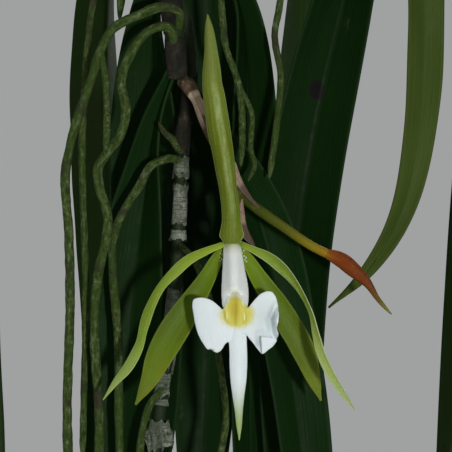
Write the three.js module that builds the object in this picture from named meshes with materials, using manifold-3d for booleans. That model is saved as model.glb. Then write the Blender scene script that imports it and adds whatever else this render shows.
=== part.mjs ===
// A hanging clay pot of Epidendrum parkinsonianum, a pendent orchid.
// Chains of cane-like stems climb out of the bark, lean over the rim and hang down, each stem ending in
// one or two thick channelled leaves. Grey-green roots leave the joints. One stem carries an open flower
// and a bud. The pot hangs on three wires that clip under its rim and meet in a crimp below a round hook.
// Units are millimetres, +Z is up. The origin is the bearing point inside the crown of the hook, and the
// flower faces -Y. Everything below the hook is modelled from the centre of the pot's rim.

import * as THREE from "three";
import { mergeVertices } from "three/addons/utils/BufferGeometryUtils.js";
import Module from "manifold-3d";

const wasm = await Module();
wasm.setup();

// Driving dimensions
const GAP = 0.3; // air between two pieces that touch
const DROP = 240; // from the hook's bearing point down to the rim of the pot
const RIM_R = 75; // outer radius of the pot's collar
const COLLAR_H = 24; // height of the collar
const COLLAR_STEP = 4; // how far the collar stands proud of the wall
const POT_H = 122;
const BASE_R = 47;
const WALL = 7;
const DRAIN_R = 8;
const MIX_DEPTH = 15; // from the rim down to the top of the bark
const WIRE_R = 1.1;
const HOOK_WIRE_R = 1.6;
const HOOK_INNER_R = 13;
const LEAF_THICK = 2.4; // at the keel
const LEAF_EDGE = 1.0; // at the margins
const TEPAL_THICK = 1.1;
const TEPAL_EDGE = 0.65;
const FLOWER_AT = [0, -128, -225]; // where the petals meet, from the centre of the rim

// Colours
const COLOUR = {
  clay: 0xb0674a,
  bark: 0x5a4031,
  wire: 0x9b9d9b,
  cane: 0x3f5230,
  leaf: 0x24441f,
  root: 0x7f8c68,
  sepal: 0x8fa62f,
  petal: 0xa3b94a,
  lip: 0xf4f5f0,
  ovary: 0x8a9a33,
  bud: 0xb5562a,
  bract: 0xb79b84,
};

// Vectors and curves
const vec = (p) => new THREE.Vector3(...p);
const curve = (points) => new THREE.CatmullRomCurve3(points.map(vec), false, "centripetal");
const lerp = THREE.MathUtils.lerp;
const radians = THREE.MathUtils.degToRad;

// A smooth value at t from evenly spaced keys.
function keyed(keys, t) {
  const last = keys.length - 1;
  const i = Math.min(Math.floor(t * last), last - 1);
  const s = t * last - i;
  const [a, b, c, d] = [Math.max(i - 1, 0), i, i + 1, Math.min(i + 2, last)].map((k) => keys[k]);
  return b + 0.5 * s * (c - a + s * (2 * a - 5 * b + 4 * c - d + s * (3 * (b - c) + d - a)));
}

// Solids: a closed surface from points and triangles, facing out, and its trips to and from a boolean.
function closed(points, triangles) {
  const geometry = new THREE.BufferGeometry();
  const coordinates = points.flatMap((p) => [p.x, p.y, p.z]);
  geometry.setAttribute("position", new THREE.Float32BufferAttribute(coordinates, 3));
  const sixth = ([a, b, c]) => points[a].dot(points[b].clone().cross(points[c]));
  const inward = triangles.reduce((sum, triangle) => sum + sixth(triangle), 0) < 0;
  geometry.setIndex(triangles.flatMap(([a, b, c]) => (inward ? [a, c, b] : [a, b, c])));
  return geometry;
}

function toSolid(geometry) {
  const bare = new THREE.BufferGeometry().setAttribute("position", geometry.getAttribute("position"));
  if (geometry.index) bare.setIndex(geometry.index);
  const merged = mergeVertices(bare, 1e-3);
  const vertProperties = merged.attributes.position.array;
  const triVerts = new Uint32Array(merged.index.array);
  return new wasm.Manifold(new wasm.Mesh({ numProp: 3, vertProperties, triVerts }));
}

function toGeometry(solid) {
  const mesh = solid.getMesh();
  const geometry = new THREE.BufferGeometry();
  geometry.setAttribute("position", new THREE.BufferAttribute(new Float32Array(mesh.vertProperties), 3));
  geometry.setIndex(new THREE.BufferAttribute(new Uint32Array(mesh.triVerts), 1));
  return geometry;
}

// The largest body that is left of a piece once its neighbours, a gap larger, are cut away.
function carve(geometry, ...cutters) {
  const left = cutters.reduce((solid, cutter) => solid.subtract(toSolid(cutter)), toSolid(geometry));
  const bodies = left.decompose().sort((a, b) => b.volume() - a.volume());
  return toGeometry(bodies[0]);
}

const join = (...geometries) => toGeometry(geometries.map(toSolid).reduce((a, b) => a.add(b)));

// Triangles between two rings of points. The second half of a blade's ring is its back, which is split
// the other way round, so that both faces of a twisted blade bend along the same lines.
function band(a, b, count, backFrom) {
  const faces = [];
  for (let i = 0; i < count; i++) {
    const j = (i + 1) % count;
    if (i < backFrom) faces.push([a + i, a + j, b + j], [a + i, b + j, b + i]);
    else faces.push([a + i, a + j, b + i], [a + j, b + j, b + i]);
  }
  return faces;
}

// The two flat ends of a row of flat rings: ring is the points in one, and last the number of the last.
function ends(ring, last) {
  const faces = [];
  for (const [at, reversed] of [[0, true], [last * ring, false]]) {
    for (let i = 0; i < ring / 2 - 1; i++) {
      const quad = [at + i, at + i + 1, at + ring - 2 - i, at + ring - 1 - i];
      const [a, b, c, d] = reversed ? quad.reverse() : quad;
      faces.push([a, b, c], [a, c, d]);
    }
  }
  return faces;
}

// A round limb along a path: radiusAt(t) gives its thickness at each of the stations. A grown limb is
// thicker and longer by grow, so that what is cut with it keeps that much air all round.
function limb(path, radiusAt, sides, stations, grow = 0) {
  const frames = path.computeFrenetFrames(400);
  const points = [];
  const faces = [];
  stations.forEach((t, k) => {
    const f = Math.round(t * 400);
    const beyond = (k === 0 ? -grow : 0) + (k === stations.length - 1 ? grow : 0);
    const centre = path.getPointAt(t).addScaledVector(frames.tangents[f], beyond);
    const r = radiusAt(t) + grow;
    for (let i = 0; i < sides; i++) {
      const angle = (2 * Math.PI * i) / sides;
      points.push(
        centre
          .clone()
          .addScaledVector(frames.normals[f], r * Math.cos(angle))
          .addScaledVector(frames.binormals[f], r * Math.sin(angle)),
      );
    }
    if (k > 0) faces.push(...band((k - 1) * sides, k * sides, sides, sides));
  });
  const last = (stations.length - 1) * sides;
  for (let i = 1; i < sides - 1; i++) faces.push([0, i + 1, i], [last, last + i, last + i + 1]);
  return closed(points, faces);
}

const even = (steps) => Array.from({ length: steps + 1 }, (_, i) => i / steps);
// Stations set by the points of a path, so that a tight bend gets as many sections as a long straight.
function bySpan(path, per) {
  const lengths = path.getLengths(2000);
  return even(per * (path.points.length - 1)).map((u) => lengths[Math.round(u * 2000)] / lengths[2000]);
}
const tube = ({ points, radii, sides = 8, steps = 7 }, grow = 0) =>
  limb(curve(points), (t) => keyed(radii, t), sides, even(steps), grow);

// A blade along a path, such as a leaf or a petal: face is where its inner side looks, from base to tip,
// half its half width, lift how steeply its halves rise to the inner side in degrees, and round how far
// the fold is a bow (1) and not a crease (0). Its sections run from margin to margin.
function blade({ path, face, half, lift, round, twist = [0, 0], thick, edge, steps, grow = 0 }) {
  const across = 5;
  const points = [];
  const faces = [];
  const tips = face.map(vec);
  for (let k = 0; k <= steps; k++) {
    const t = k / steps;
    const tangent = path.getTangentAt(t);
    const beyond = (k === 0 ? -grow : 0) + (k === steps ? grow : 0);
    const centre = path.getPointAt(t).addScaledVector(tangent, beyond);
    const inner = tips[0].clone().lerp(tips[tips.length - 1], t);
    inner.addScaledVector(tangent, -inner.dot(tangent)).normalize();
    inner.applyAxisAngle(tangent, radians(keyed(twist, t)));
    const side = tangent.clone().cross(inner);
    const h = keyed(half, t) + grow;
    const a = radians(keyed(lift, t));
    const front = [];
    const back = [];
    for (let i = 0; i < across; i++) {
      const s = -1 + (2 * i) / (across - 1);
      const rise = lerp(Math.abs(s), s * s, round);
      const slope = lerp(Math.sign(s), 2 * s, round) * Math.sin(a);
      const out = inner.clone().multiplyScalar(Math.cos(a)).addScaledVector(side, -slope).normalize();
      const deep = lerp(thick, edge, Math.abs(s)) * Math.min(1, 0.35 + h / 3) * 0.5 + grow;
      const middle = centre.clone().addScaledVector(side, s * h * Math.cos(a));
      middle.addScaledVector(inner, rise * h * Math.sin(a));
      front.push(middle.clone().addScaledVector(out, deep));
      back.unshift(middle.clone().addScaledVector(out, -deep));
    }
    points.push(...front, ...back);
    const ring = 2 * across;
    if (k > 0) faces.push(...band((k - 1) * ring, k * ring, ring, across));
  }
  return closed(points, faces.concat(ends(2 * across, steps)));
}

const group = new THREE.Group();
const hanging = new THREE.Group();
hanging.position.z = -DROP;
group.add(hanging);
const flower = new THREE.Group();
flower.position.set(...FLOWER_AT);
hanging.add(flower);

function place(parent, name, geometry, colour, roughness = 0.6, metalness = 0) {
  const material = new THREE.MeshStandardMaterial({ color: colour, roughness, metalness });
  const mesh = new THREE.Mesh(geometry, material);
  mesh.name = name;
  parent.add(mesh);
}

// The pot is plain fired clay with a straight collar and one drain hole, one solid of revolution.
const POT_SIDES = 28;
const wallOuter = (z) => lerp(RIM_R - COLLAR_STEP, BASE_R, (-z - COLLAR_H) / (POT_H - COLLAR_H));
const potProfile = [
  [RIM_R - WALL, 0],
  [RIM_R, 0],
  [RIM_R - 1, -COLLAR_H],
  [RIM_R - COLLAR_STEP, -COLLAR_H],
  [BASE_R, -POT_H],
  [DRAIN_R, -POT_H],
  [DRAIN_R, -POT_H + WALL],
  [BASE_R - WALL + 1, -POT_H + WALL],
  [RIM_R - COLLAR_STEP - WALL, -COLLAR_H],
  [RIM_R - WALL, 0],
];
// LatheGeometry turns about Y, so the turned solid is tipped up to +Z.
function turned(profile, sides) {
  const lathe = new THREE.LatheGeometry(profile.map(([r, z]) => new THREE.Vector2(r, z)), sides);
  lathe.rotateX(Math.PI / 2);
  const solid = toSolid(lathe);
  if (solid.volume() > 0) return toGeometry(solid);
  const flipped = lathe.index.array.slice().reverse();
  lathe.setIndex(new THREE.BufferAttribute(flipped, 1));
  return toGeometry(toSolid(lathe));
}
place(hanging, "pot", turned(potProfile, POT_SIDES), COLOUR.clay, 0.85);

// Stems. Each is a cane about as thick as a pencil with a ridge at every joint, where its dry sheaths
// start. The first of each chain stands in the bark, and every other one grows out of the side of the
// one before.
const STEMS = {
  stem_a1: {
    points: [[-12, -32, -34], [-15, -48, 2], [-19, -72, 10], [-21, -89, -14], [-22, -95, -48]],
    r: 4.0, joints: 5,
  },
  stem_a2: {
    points: [[-21, -92, -28], [-25, -99, -50], [-23, -101, -88], [-18, -99, -122]],
    r: 3.7, joints: 4, from: "stem_a1",
  },
  stem_a3: {
    points: [[-20, -100, -108], [-23, -104, -124], [-20, -102, -148], [-18, -101, -171]],
    r: 3.3, joints: 4, from: "stem_a2",
  },
  stem_a4: {
    points: [
      [-19.5, -101, -141], [-15, -95, -152], [-14, -91, -172], [-16.5, -95, -190], [-17.5, -97, -215],
      [-19.5, -97, -245], [-23.5, -97, -276], [-28, -96, -322],
    ],
    r: 2.75, joints: 8, from: "stem_a3",
  },
  stem_b1: {
    points: [[20, -30, -34], [27, -50, 2], [36, -70, 10], [45, -86, -16], [50, -90, -62]],
    r: 4.0, joints: 5,
  },
  stem_c1: {
    points: [[-38, -4, -34], [-55, -4, 2], [-75, -6, 10], [-90, -8, -14], [-96, -8, -56]],
    r: 4.0, joints: 5,
  },
  stem_d1: {
    points: [[38, 6, -34], [55, 8, 2], [75, 11, 10], [90, 13, -14], [95, 14, -56]],
    r: 4.0, joints: 5,
  },
  stem_e1: {
    points: [[-16, 32, -34], [-22, 50, 2], [-29, 71, 10], [-33, 88, -14], [-34, 94, -58]],
    r: 4.0, joints: 5,
  },
  stem_e2: {
    points: [[18, 34, -34], [23, 51, 2], [28, 72, 10], [31, 88, -14], [31, 92, -52]],
    r: 3.8, joints: 5,
  },
};

function stemSolid({ points, r, joints }, grow = 0) {
  const path = curve(points);
  const stations = [];
  for (let i = 0; i < joints; i++) stations.push(i / joints, (i + 0.12) / joints, (i + 0.55) / joints);
  stations.push(0.97, 1);
  const radiusAt = (t) => {
    const along = (t * joints) % 1;
    const ridge = along < 0.05 && t < 0.95 ? 1.16 : along > 0.5 ? 1.03 : 0.97;
    const taper = t > 0.99 ? 0.55 : 1;
    return r * ridge * taper * lerp(0.92, 1.04, Math.sin(Math.PI * Math.min(1, t * 1.1)));
  };
  return limb(path, radiusAt, 7, stations, grow);
}

for (const [name, stem] of Object.entries(STEMS)) {
  const solid = stem.from ? carve(stemSolid(stem), stemSolid(STEMS[stem.from], GAP)) : stemSolid(stem);
  place(hanging, name, solid, COLOUR.cane, 0.6);
}

// Leaves. Each is a thick strap folded along its keel, narrow where it clasps the stem and pointed at the
// tip. face is where the channel looks, from base to tip, and width is that of the leaf laid flat.
const LEAVES = {
  leaf_a3_left: {
    stem: "stem_a3", past: ["stem_a4"], width: 30, lift: 32, face: [[-0.3, -1, 0.2], [-0.2, -1, 0]],
    points: [
      [-19, -99.5, -168], [-25, -94, -184], [-29, -89, -208], [-34, -87, -255], [-39, -86, -320],
      [-45, -88, -405],
    ],
  },
  leaf_a3_right: {
    stem: "stem_a3", past: ["stem_a4"], width: 25, lift: 36, face: [[0.3, -1, 0.2], [0.45, -1, 0]],
    points: [
      [-17, -97.5, -168], [-9, -91, -184], [2, -88, -202], [10, -88, -222], [17.5, -90, -258],
      [23, -91, -297], [30, -95, -385],
    ],
  },
  leaf_a2_left: {
    stem: "stem_a2", past: ["stem_a3"], width: 30, lift: 30, face: [[-0.4, -1, 0.2], [-0.3, -1, 0]],
    points: [
      [-19, -98.5, -119], [-25, -90, -138], [-27, -79, -165], [-27, -72, -205], [-26, -70, -260],
      [-30, -72, -350],
    ],
  },
  leaf_a2_right: {
    stem: "stem_a2", past: ["stem_a3"], width: 28, lift: 48, face: [[0.3, -1, 0.2], [0.15, -1, 0]],
    points: [
      [-17, -98.5, -119], [-7, -90, -127], [2.5, -76, -146], [5.5, -67, -190], [6, -64, -250],
      [7, -65, -372],
    ],
  },
  leaf_a1: {
    stem: "stem_a1", past: ["stem_a2"], width: 34, lift: 24, face: [[0, -1, 0.2], [-0.1, -1, 0]],
    points: [
      [-22, -93, -45], [-17, -82, -62], [-11, -62, -100], [-8, -52, -150], [-8, -48, -230],
      [-12, -50, -362],
    ],
  },
  leaf_b1_front: {
    stem: "stem_b1", width: 30, lift: 34, face: [[0.1, -1, 0.2], [-0.36, -1, 0]],
    points: [
      [50, -90, -59], [52, -94, -85], [46, -88, -115], [37.6, -82, -146], [28, -79, -190],
      [22.5, -76, -232], [21.5, -73, -275], [24, -73, -330], [28, -76, -408],
    ],
  },
  leaf_b1_side: {
    stem: "stem_b1", past: ["leaf_b1_front"], width: 28, lift: 40, face: [[1, -0.5, 0.2], [1, -0.3, 0]],
    points: [
      [50, -89, -59], [61, -86, -72], [76, -78, -106], [84, -68, -160], [84, -62, -220],
      [80, -60, -318],
    ],
  },
  leaf_b1_young: {
    stem: "stem_b1", past: ["leaf_b1_front", "leaf_b1_side"], width: 15, lift: 30,
    face: [[0.4, -1, 0.1], [0.1, -1, 0]],
    points: [
      [51.5, -93, -58], [58, -101, -74], [62, -102, -110], [64, -98, -160], [61, -94, -200],
      [55, -92, -220], [45, -90, -236], [33, -87, -247.5],
    ],
  },
  leaf_a4_left: {
    stem: "stem_a4", width: 23, lift: 40, face: [[-0.5, -1, 0.2], [-0.4, -1, 0]],
    points: [
      [-28.5, -96, -319], [-36, -100, -334], [-45, -104, -365], [-50, -105, -410], [-52, -103, -478],
    ],
  },
  leaf_a4_right: {
    stem: "stem_a4", past: ["leaf_a4_left"], width: 22, lift: 40, face: [[0.4, -1, 0.2], [0.3, -1, 0]],
    points: [
      [-27.5, -96, -319], [-20, -97, -336], [-12, -102, -365], [-9, -103, -410], [-8, -101, -486],
    ],
  },
  leaf_c1_front: {
    stem: "stem_c1", width: 28, lift: 40, face: [[-1, -0.4, 0.2], [-1, -0.3, 0]],
    points: [
      [-96, -9.5, -53], [-101, -19, -72], [-99, -29, -112], [-93, -33, -170], [-89, -33, -230],
      [-84, -31, -322],
    ],
  },
  leaf_c1_back: {
    stem: "stem_c1", width: 29, lift: 40, face: [[-1, 0.4, 0.2], [-1, 0.3, 0]],
    points: [
      [-96, -6.5, -53], [-101, 3, -74], [-99, 15, -118], [-94, 21, -180], [-91, 23, -250],
      [-87, 23, -352],
    ],
  },
  leaf_d1_front: {
    stem: "stem_d1", width: 29, lift: 40, face: [[1, -0.3, 0.2], [1, -0.3, 0]],
    points: [
      [95, 12.5, -53], [101, 4, -72], [100, -7, -112], [95, -12, -170], [91, -13, -240],
      [86, -12, -334],
    ],
  },
  leaf_d1_back: {
    stem: "stem_d1", width: 28, lift: 40, face: [[1, 0.5, 0.2], [1, 0.4, 0]],
    points: [
      [95, 15.5, -53], [100, 27, -74], [97, 39, -116], [91, 45, -176], [86, 47, -245], [81, 46, -346],
    ],
  },
  leaf_e1_side: {
    stem: "stem_e1", width: 30, lift: 40, face: [[-0.6, 1, 0.2], [-0.4, 1, 0]],
    points: [
      [-35, 94, -55], [-44, 98, -74], [-52, 96, -120], [-52, 88, -185], [-49, 82, -262],
      [-45, 80, -372],
    ],
  },
  leaf_e1_middle: {
    stem: "stem_e1", past: ["leaf_e1_side"], width: 29, lift: 40, face: [[0.3, 1, 0.2], [0.2, 1, 0]],
    points: [
      [-33, 94, -55], [-24, 98, -74], [-16, 95, -120], [-12, 87, -190], [-11, 82, -270],
      [-12, 80, -388],
    ],
  },
  leaf_e2: {
    stem: "stem_e2", width: 30, lift: 40, face: [[0.2, 1, 0.2], [0.1, 1, 0]],
    points: [
      [31, 92, -49], [33, 99, -72], [31, 96, -122], [28, 88, -190], [26, 82, -268], [25, 80, -380],
    ],
  },
};
const LEAF_OUTLINE = [0.26, 0.5, 0.82, 0.98, 1, 0.97, 0.9, 0.8, 0.62, 0.38, 0.05];

const leafSolid = (leaf, grow = 0) =>
  blade({
    path: curve(leaf.points),
    face: leaf.face,
    half: LEAF_OUTLINE.map((share) => (share * leaf.width) / 2),
    lift: [66, leaf.lift + 12, leaf.lift, leaf.lift, leaf.lift, leaf.lift + 4],
    thick: LEAF_THICK,
    edge: LEAF_EDGE,
    round: 0.25,
    steps: 10,
    grow,
  });
for (const [name, leaf] of Object.entries(LEAVES)) {
  const room = [leaf.stem, ...(leaf.past ?? [])].map((other) =>
    STEMS[other] ? stemSolid(STEMS[other], GAP) : leafSolid(LEAVES[other], GAP),
  );
  place(hanging, name, carve(leafSolid(leaf), ...room), COLOUR.leaf, 0.45);
}

// Roots. They leave a joint of a stem, bend over and hang, and end in a blunt tip under grey-green skin.
// A second path in a node is a branch that starts inside the first.
const ROOTS = {
  root_loop_outer: {
    stem: "stem_a3", r: 1.55,
    paths: [
      [
        [-18, -103, -154], [-17.5, -107, -149], [-23, -110, -147.5], [-32, -113, -151],
        [-39, -114, -155], [-43, -114, -162], [-47, -113, -174], [-52, -112, -188], [-55, -111, -204],
        [-54, -110, -220], [-53.5, -109, -245], [-54.5, -108, -280], [-53, -107, -340],
      ],
      [[-43, -114, -163], [-41.5, -114.5, -172], [-41, -115, -184], [-41.5, -115.5, -197]],
    ],
  },
  root_loop_inner: {
    stem: "stem_a3", r: 1.6,
    paths: [
      [
        [-19, -103, -159], [-21, -106.5, -154], [-27, -108, -155], [-33, -109, -162],
        [-36.5, -109.5, -172], [-35, -110, -182], [-37, -110, -190], [-44, -109, -200],
        [-44, -108.5, -206], [-41, -109, -218], [-44.5, -109, -238], [-45.5, -108, -256],
        [-44, -107, -282], [-45, -105, -330],
      ],
    ],
  },
  root_joint_long: {
    stem: "stem_a4", r: 1.45,
    paths: [
      [
        [-16.5, -96, -198], [-21.5, -102, -197.5], [-27, -104, -200], [-31, -105, -207],
        [-36, -105, -215], [-39.5, -104, -224], [-39.5, -103, -238], [-38, -103, -256],
        [-37.5, -103, -290], [-36, -104, -318],
      ],
    ],
  },
  root_joint_stub: {
    stem: "stem_a4", r: 1.25,
    paths: [
      [
        [-16.8, -97, -195], [-18.4, -101.5, -193.4], [-20, -103, -190.8], [-22.2, -103.8, -189],
        [-24.4, -104.2, -185.4],
      ],
    ],
  },
  root_low_left: {
    stem: "stem_a2", r: 1.2,
    paths: [
      [
        [-23, -100.5, -88], [-31, -104, -94], [-39, -104, -112], [-47, -102, -150], [-50, -100, -190],
        [-49, -99, -240], [-50, -99, -298],
      ],
    ],
  },
  root_centre: {
    stem: "stem_a2", r: 1.15,
    paths: [
      [
        [-21, -101, -98], [-13, -106, -103], [-6, -107, -122], [-3.5, -106, -146], [-2, -105, -160],
        [2.5, -104.5, -174], [3.5, -104.5, -190], [3, -104.5, -200],
      ],
      [
        [2, -104.6, -173], [6.5, -105, -182], [6.3, -105.5, -194], [7.5, -106, -200],
        [5.4, -106.5, -205],
      ],
    ],
  },
  root_behind_lip: {
    stem: "stem_a4", r: 1.2,
    paths: [
      [
        [-17.5, -98, -226], [-12, -104, -232], [-7, -107, -246], [-4.5, -107, -262], [-3, -107, -272],
        [-2, -107, -284], [-4, -107, -297], [-8, -106, -318],
      ],
    ],
  },
  root_gap_right: {
    stem: "stem_b1", r: 1.15,
    paths: [
      [
        [43, -82, -8], [38, -93, -18], [30, -97, -60], [22, -98, -110], [16, -96, -146],
        [14.5, -95, -156], [16.5, -95, -170], [15, -98, -186], [12.5, -101, -204],
      ],
    ],
  },
  root_a1_long: {
    stem: "stem_a1", r: 1.4,
    paths: [
      [
        [-20, -84, -4], [-29, -95, -10], [-35, -100, -40], [-38, -100, -84], [-36, -94, -122],
        [-38, -90, -150],
      ],
    ],
  },
  root_a4_tip: {
    stem: "stem_a4", r: 1.3,
    paths: [
      [
        [-23, -98, -274], [-28, -103, -281], [-31, -106, -300], [-30, -107, -326], [-32, -112, -352],
        [-33, -113, -392],
      ],
    ],
  },
  root_left: {
    stem: "stem_c1", r: 1.4,
    paths: [
      [
        [-88, -8, -10], [-98, -4, -22], [-106, -5, -56], [-108, -7, -110], [-105, -7, -160],
        [-103, -6, -214],
      ],
    ],
  },
  root_right: {
    stem: "stem_d1", r: 1.4,
    paths: [
      [[88, 13, -10], [97, 16, -24], [106, 17, -58], [109, 17, -112], [106, 18, -170], [104, 17, -228]],
    ],
  },
  root_back: {
    stem: "stem_e2", r: 1.4,
    paths: [
      [[30, 86, -10], [24, 96, -22], [12, 103, -60], [8, 104, -112], [8, 98, -170], [9, 96, -240]],
    ],
  },
};

function rootSolid({ r, paths }) {
  const limbs = paths.map((points, i) => {
    const own = i ? 0.72 : 1;
    const knobbly = (t) => 1 + 0.1 * Math.sin(17 * t + r * 9);
    const radiusAt = (t) => r * own * (t > 0.985 ? 0.35 : t > 0.95 ? 0.8 : knobbly(t));
    const path = curve(points);
    return limb(path, radiusAt, 5, [...bySpan(path, 2).slice(0, -1), 0.985, 1]);
  });
  return limbs.length > 1 ? join(...limbs) : limbs[0];
}

for (const [name, root] of Object.entries(ROOTS)) {
  place(hanging, name, carve(rootSolid(root), stemSolid(STEMS[root.stem], GAP)), COLOUR.root, 0.8);
}

// The potting bark fills the pot to below the rim: one body, rough with half-sunk chips, with a plain hole
// for each stem.
const CHIPS = 16;
let seed = 20;
const random = () => {
  seed = (seed * 16807) % 2147483647;
  return seed / 2147483647;
};
const mixTopR = RIM_R - WALL - 1.2 - GAP;
const mixProfile = [
  [0, -POT_H + WALL + GAP],
  [BASE_R - WALL - GAP, -POT_H + WALL + GAP],
  [RIM_R - COLLAR_STEP - WALL - 0.6 - GAP, -COLLAR_H],
  [mixTopR - 2, -MIX_DEPTH],
  [0, -MIX_DEPTH + 2],
];
const chips = Array.from({ length: CHIPS }, (_, i) => {
  const reach = (mixTopR - 12) * Math.sqrt((i + 0.5) / CHIPS);
  const bearing = i * 2.39996;
  const chip = new THREE.BoxGeometry(9 + 8 * random(), 6 + 6 * random(), 4 + 3 * random());
  chip.rotateX(0.7 * (random() - 0.5));
  chip.rotateY(0.7 * (random() - 0.5));
  chip.rotateZ(Math.PI * random());
  chip.translate(reach * Math.cos(bearing), reach * Math.sin(bearing), -MIX_DEPTH + 1 + 2 * random());
  return chip;
});
const heap = join(turned(mixProfile, 24), ...chips);
const potted = Object.values(STEMS).filter((stem) => !stem.from);
const holes = potted.map((stem) => stemSolid(stem, GAP));
place(hanging, "potting_bark", carve(heap, ...holes), COLOUR.bark, 0.95);

// The flower, modelled from the point where its petals meet. It faces -Y. The five tepals stand round the
// column, and the lip hangs from the end of the column with two side lobes and a long middle lobe.
// The column is a ridge with two wings that bend back, and the wings reach past the ridge's round end.
const COLUMN = {
  points: [[0.1, 2.4, 0.2], [0.2, -1.8, -2.4], [0.7, -8, -9], [1, -12.1, -15.4]],
  radii: [2.3, 2.3, 2.1, 2.0, 1.9, 1.0],
};
const WINGS = {
  points: [[0.1, -0.6, 0.4], [0.3, -3.2, -3], [0.7, -8.3, -9.5], [1, -12, -15.5], [1, -13.9, -21]],
  face: [[0, -0.8, 0.5], [0, -1, 0.1]],
  half: [2.9, 3.3, 3.9, 4.6, 5.0, 4.9, 3.4],
  lift: [-30, -34, -34, -32, -22],
};
const OVARY = {
  points: [[0.1, 1.8, 0.6], [0.8, 8, 3], [1.9, 12, 9], [2.4, 14.2, 17.6]],
  radii: [2.6, 2.0, 1.7, 1.6],
};
const wings = (grow = 0) =>
  blade({ ...WINGS, path: curve(WINGS.points), round: 1, thick: 1.3, edge: 0.7, steps: 7, grow });
const egg = (sides, rings) => new THREE.SphereGeometry(1, sides, rings).rotateX(Math.PI / 2);
const notch = (less) => egg(8, 6).scale(3.4 - less, 5 - less, 6.6 - less).translate(1, -14, -22.8);
const columnRoom = carve(join(tube(COLUMN, GAP), wings(GAP)), notch(2 * GAP));
const ovaryRoom = tube(OVARY, GAP);
place(flower, "column", carve(join(tube(COLUMN), wings()), notch(0)), COLOUR.lip, 0.4);
place(flower, "ovary", carve(tube(OVARY), columnRoom), COLOUR.ovary, 0.5);

// face of a tepal is its inner side. Where lift is negative the margins roll back and it bows to the
// viewer.
const TEPALS = {
  sepal_top: {
    points: [
      [-0.1, -3.7, -0.5], [-0.1, -3.6, 2], [-0.4, -3.4, 10.5], [-1.2, -3.4, 16.7], [-3.1, -3.4, 29.6],
      [-4.3, -3, 36], [-5.8, -2.2, 46.4], [-6.5, -1.9, 51], [-6.9, -0.6, 62], [-7.9, 1.2, 73.6],
    ],
    half: [
      3.2, 3.9, 3.3, 3.5, 3.6, 3.7, 4.0, 4.2, 4.35, 4.5, 4.6, 4.5, 4.3, 4.1, 3.7, 3.4, 2.85, 2.3, 1.9, 1.3,
      0.25,
    ],
    lift: [-8, -36, -40, -38, -34, -30, -24], face: [[0, -1, 0.2], [-0.1, -1, 0]],
  },
  petal_left: {
    points: [
      [-2.4, -0.5, -0.6], [-9, -4.5, -3.2], [-13.9, -6.5, -5.7], [-18.2, -7.5, -9.5],
      [-22.6, -8, -14.3], [-26, -7.5, -20.7], [-28.2, -6.5, -27.1], [-29.7, -5, -33.1],
      [-33.3, -3, -40.1], [-37.2, -1.5, -44.8], [-41.6, 0, -50.9],
    ],
    half: [0.9, 1.2, 1.6, 1.8, 1.4, 1.5, 1.7, 1.4, 1.7, 1.65, 0.95, 0.2],
    lift: [20, 14, 10, 14, 12, 8],
    twist: [-20, -8, 0, 8, 0, 14, 6], face: [[0, -1, 0.3], [0, -1, 0]],
  },
  petal_right: {
    points: [
      [2.6, -0.5, -0.6], [7.5, -4, -2.8], [12.2, -6.5, -5.3], [16.6, -9, -9], [19.6, -11, -12.5],
      [22.5, -13, -17], [25.1, -15.5, -22.6], [26.5, -17.5, -29], [27.9, -18.5, -34.6],
      [30.5, -18.5, -40.6], [33.6, -17, -45.7], [38.8, -13, -53],
    ],
    half: [1.0, 1.15, 1.65, 1.8, 1.4, 1.05, 1.05, 1.3, 1.45, 1.5, 1.45, 1.2, 0.8, 0.2],
    lift: [20, 14, 10, 14, 12, 8],
    twist: [20, 5, 25, 55, 20, 8, 0], face: [[0, -1, 0.3], [0, -1, 0]],
  },
  sepal_left: {
    points: [
      [-1.6, 1.6, -1.2], [-4.8, 3, -5.6], [-7.6, 3.5, -11], [-10.6, 4, -16], [-14.5, 4, -22],
      [-18.4, 4, -28], [-21.5, 4.5, -33.2], [-24.5, 5.5, -39], [-26.8, 7, -44.6], [-31.5, 9, -53.2],
    ],
    half: [1.3, 2.3, 3.0, 3.7, 4.4, 4.9, 4.9, 4.4, 3.4, 2.0, 0.35], lift: [30, 24, 16, 14, 14, 10],
    face: [[-0.1, -1, 0.2], [0.15, -1, 0]],
  },
  sepal_right: {
    points: [
      [1.9, 1.6, -1.2], [5, 3, -5.8], [7.8, 3.5, -10.5], [11.2, 4, -15.6], [15, 4, -21.2],
      [18.6, 4, -27], [21.6, 4, -32], [24.2, 4.5, -37.6], [26.2, 5.5, -43.6], [29, 7.5, -51.8],
    ],
    half: [1.3, 2.3, 3.0, 3.5, 3.9, 4.1, 4.1, 3.9, 3.1, 1.9, 0.35], lift: [30, 24, 16, 14, 14, 10],
    face: [[0.1, -1, 0.2], [-0.15, -1, 0]],
  },
};

const tepalSolid = (tepal, grow = 0) =>
  blade({
    ...tepal,
    path: curve(tepal.points),
    round: 0.7,
    thick: TEPAL_THICK,
    edge: TEPAL_EDGE,
    steps: 13,
    grow,
  });
const seats = [columnRoom, ovaryRoom];
place(flower, "sepal_top", carve(tepalSolid(TEPALS.sepal_top), ...seats), COLOUR.sepal, 0.5);
const topRoom = tepalSolid(TEPALS.sepal_top, GAP);
for (const side of ["left", "right"]) {
  const petal = TEPALS["petal_" + side];
  const sepal = TEPALS["sepal_" + side];
  const petalRoom = tepalSolid(petal, GAP);
  place(flower, "petal_" + side, carve(tepalSolid(petal), ...seats, topRoom), COLOUR.petal, 0.5);
  place(flower, "sepal_" + side, carve(tepalSolid(sepal), ...seats, petalRoom), COLOUR.sepal, 0.5);
}

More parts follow.
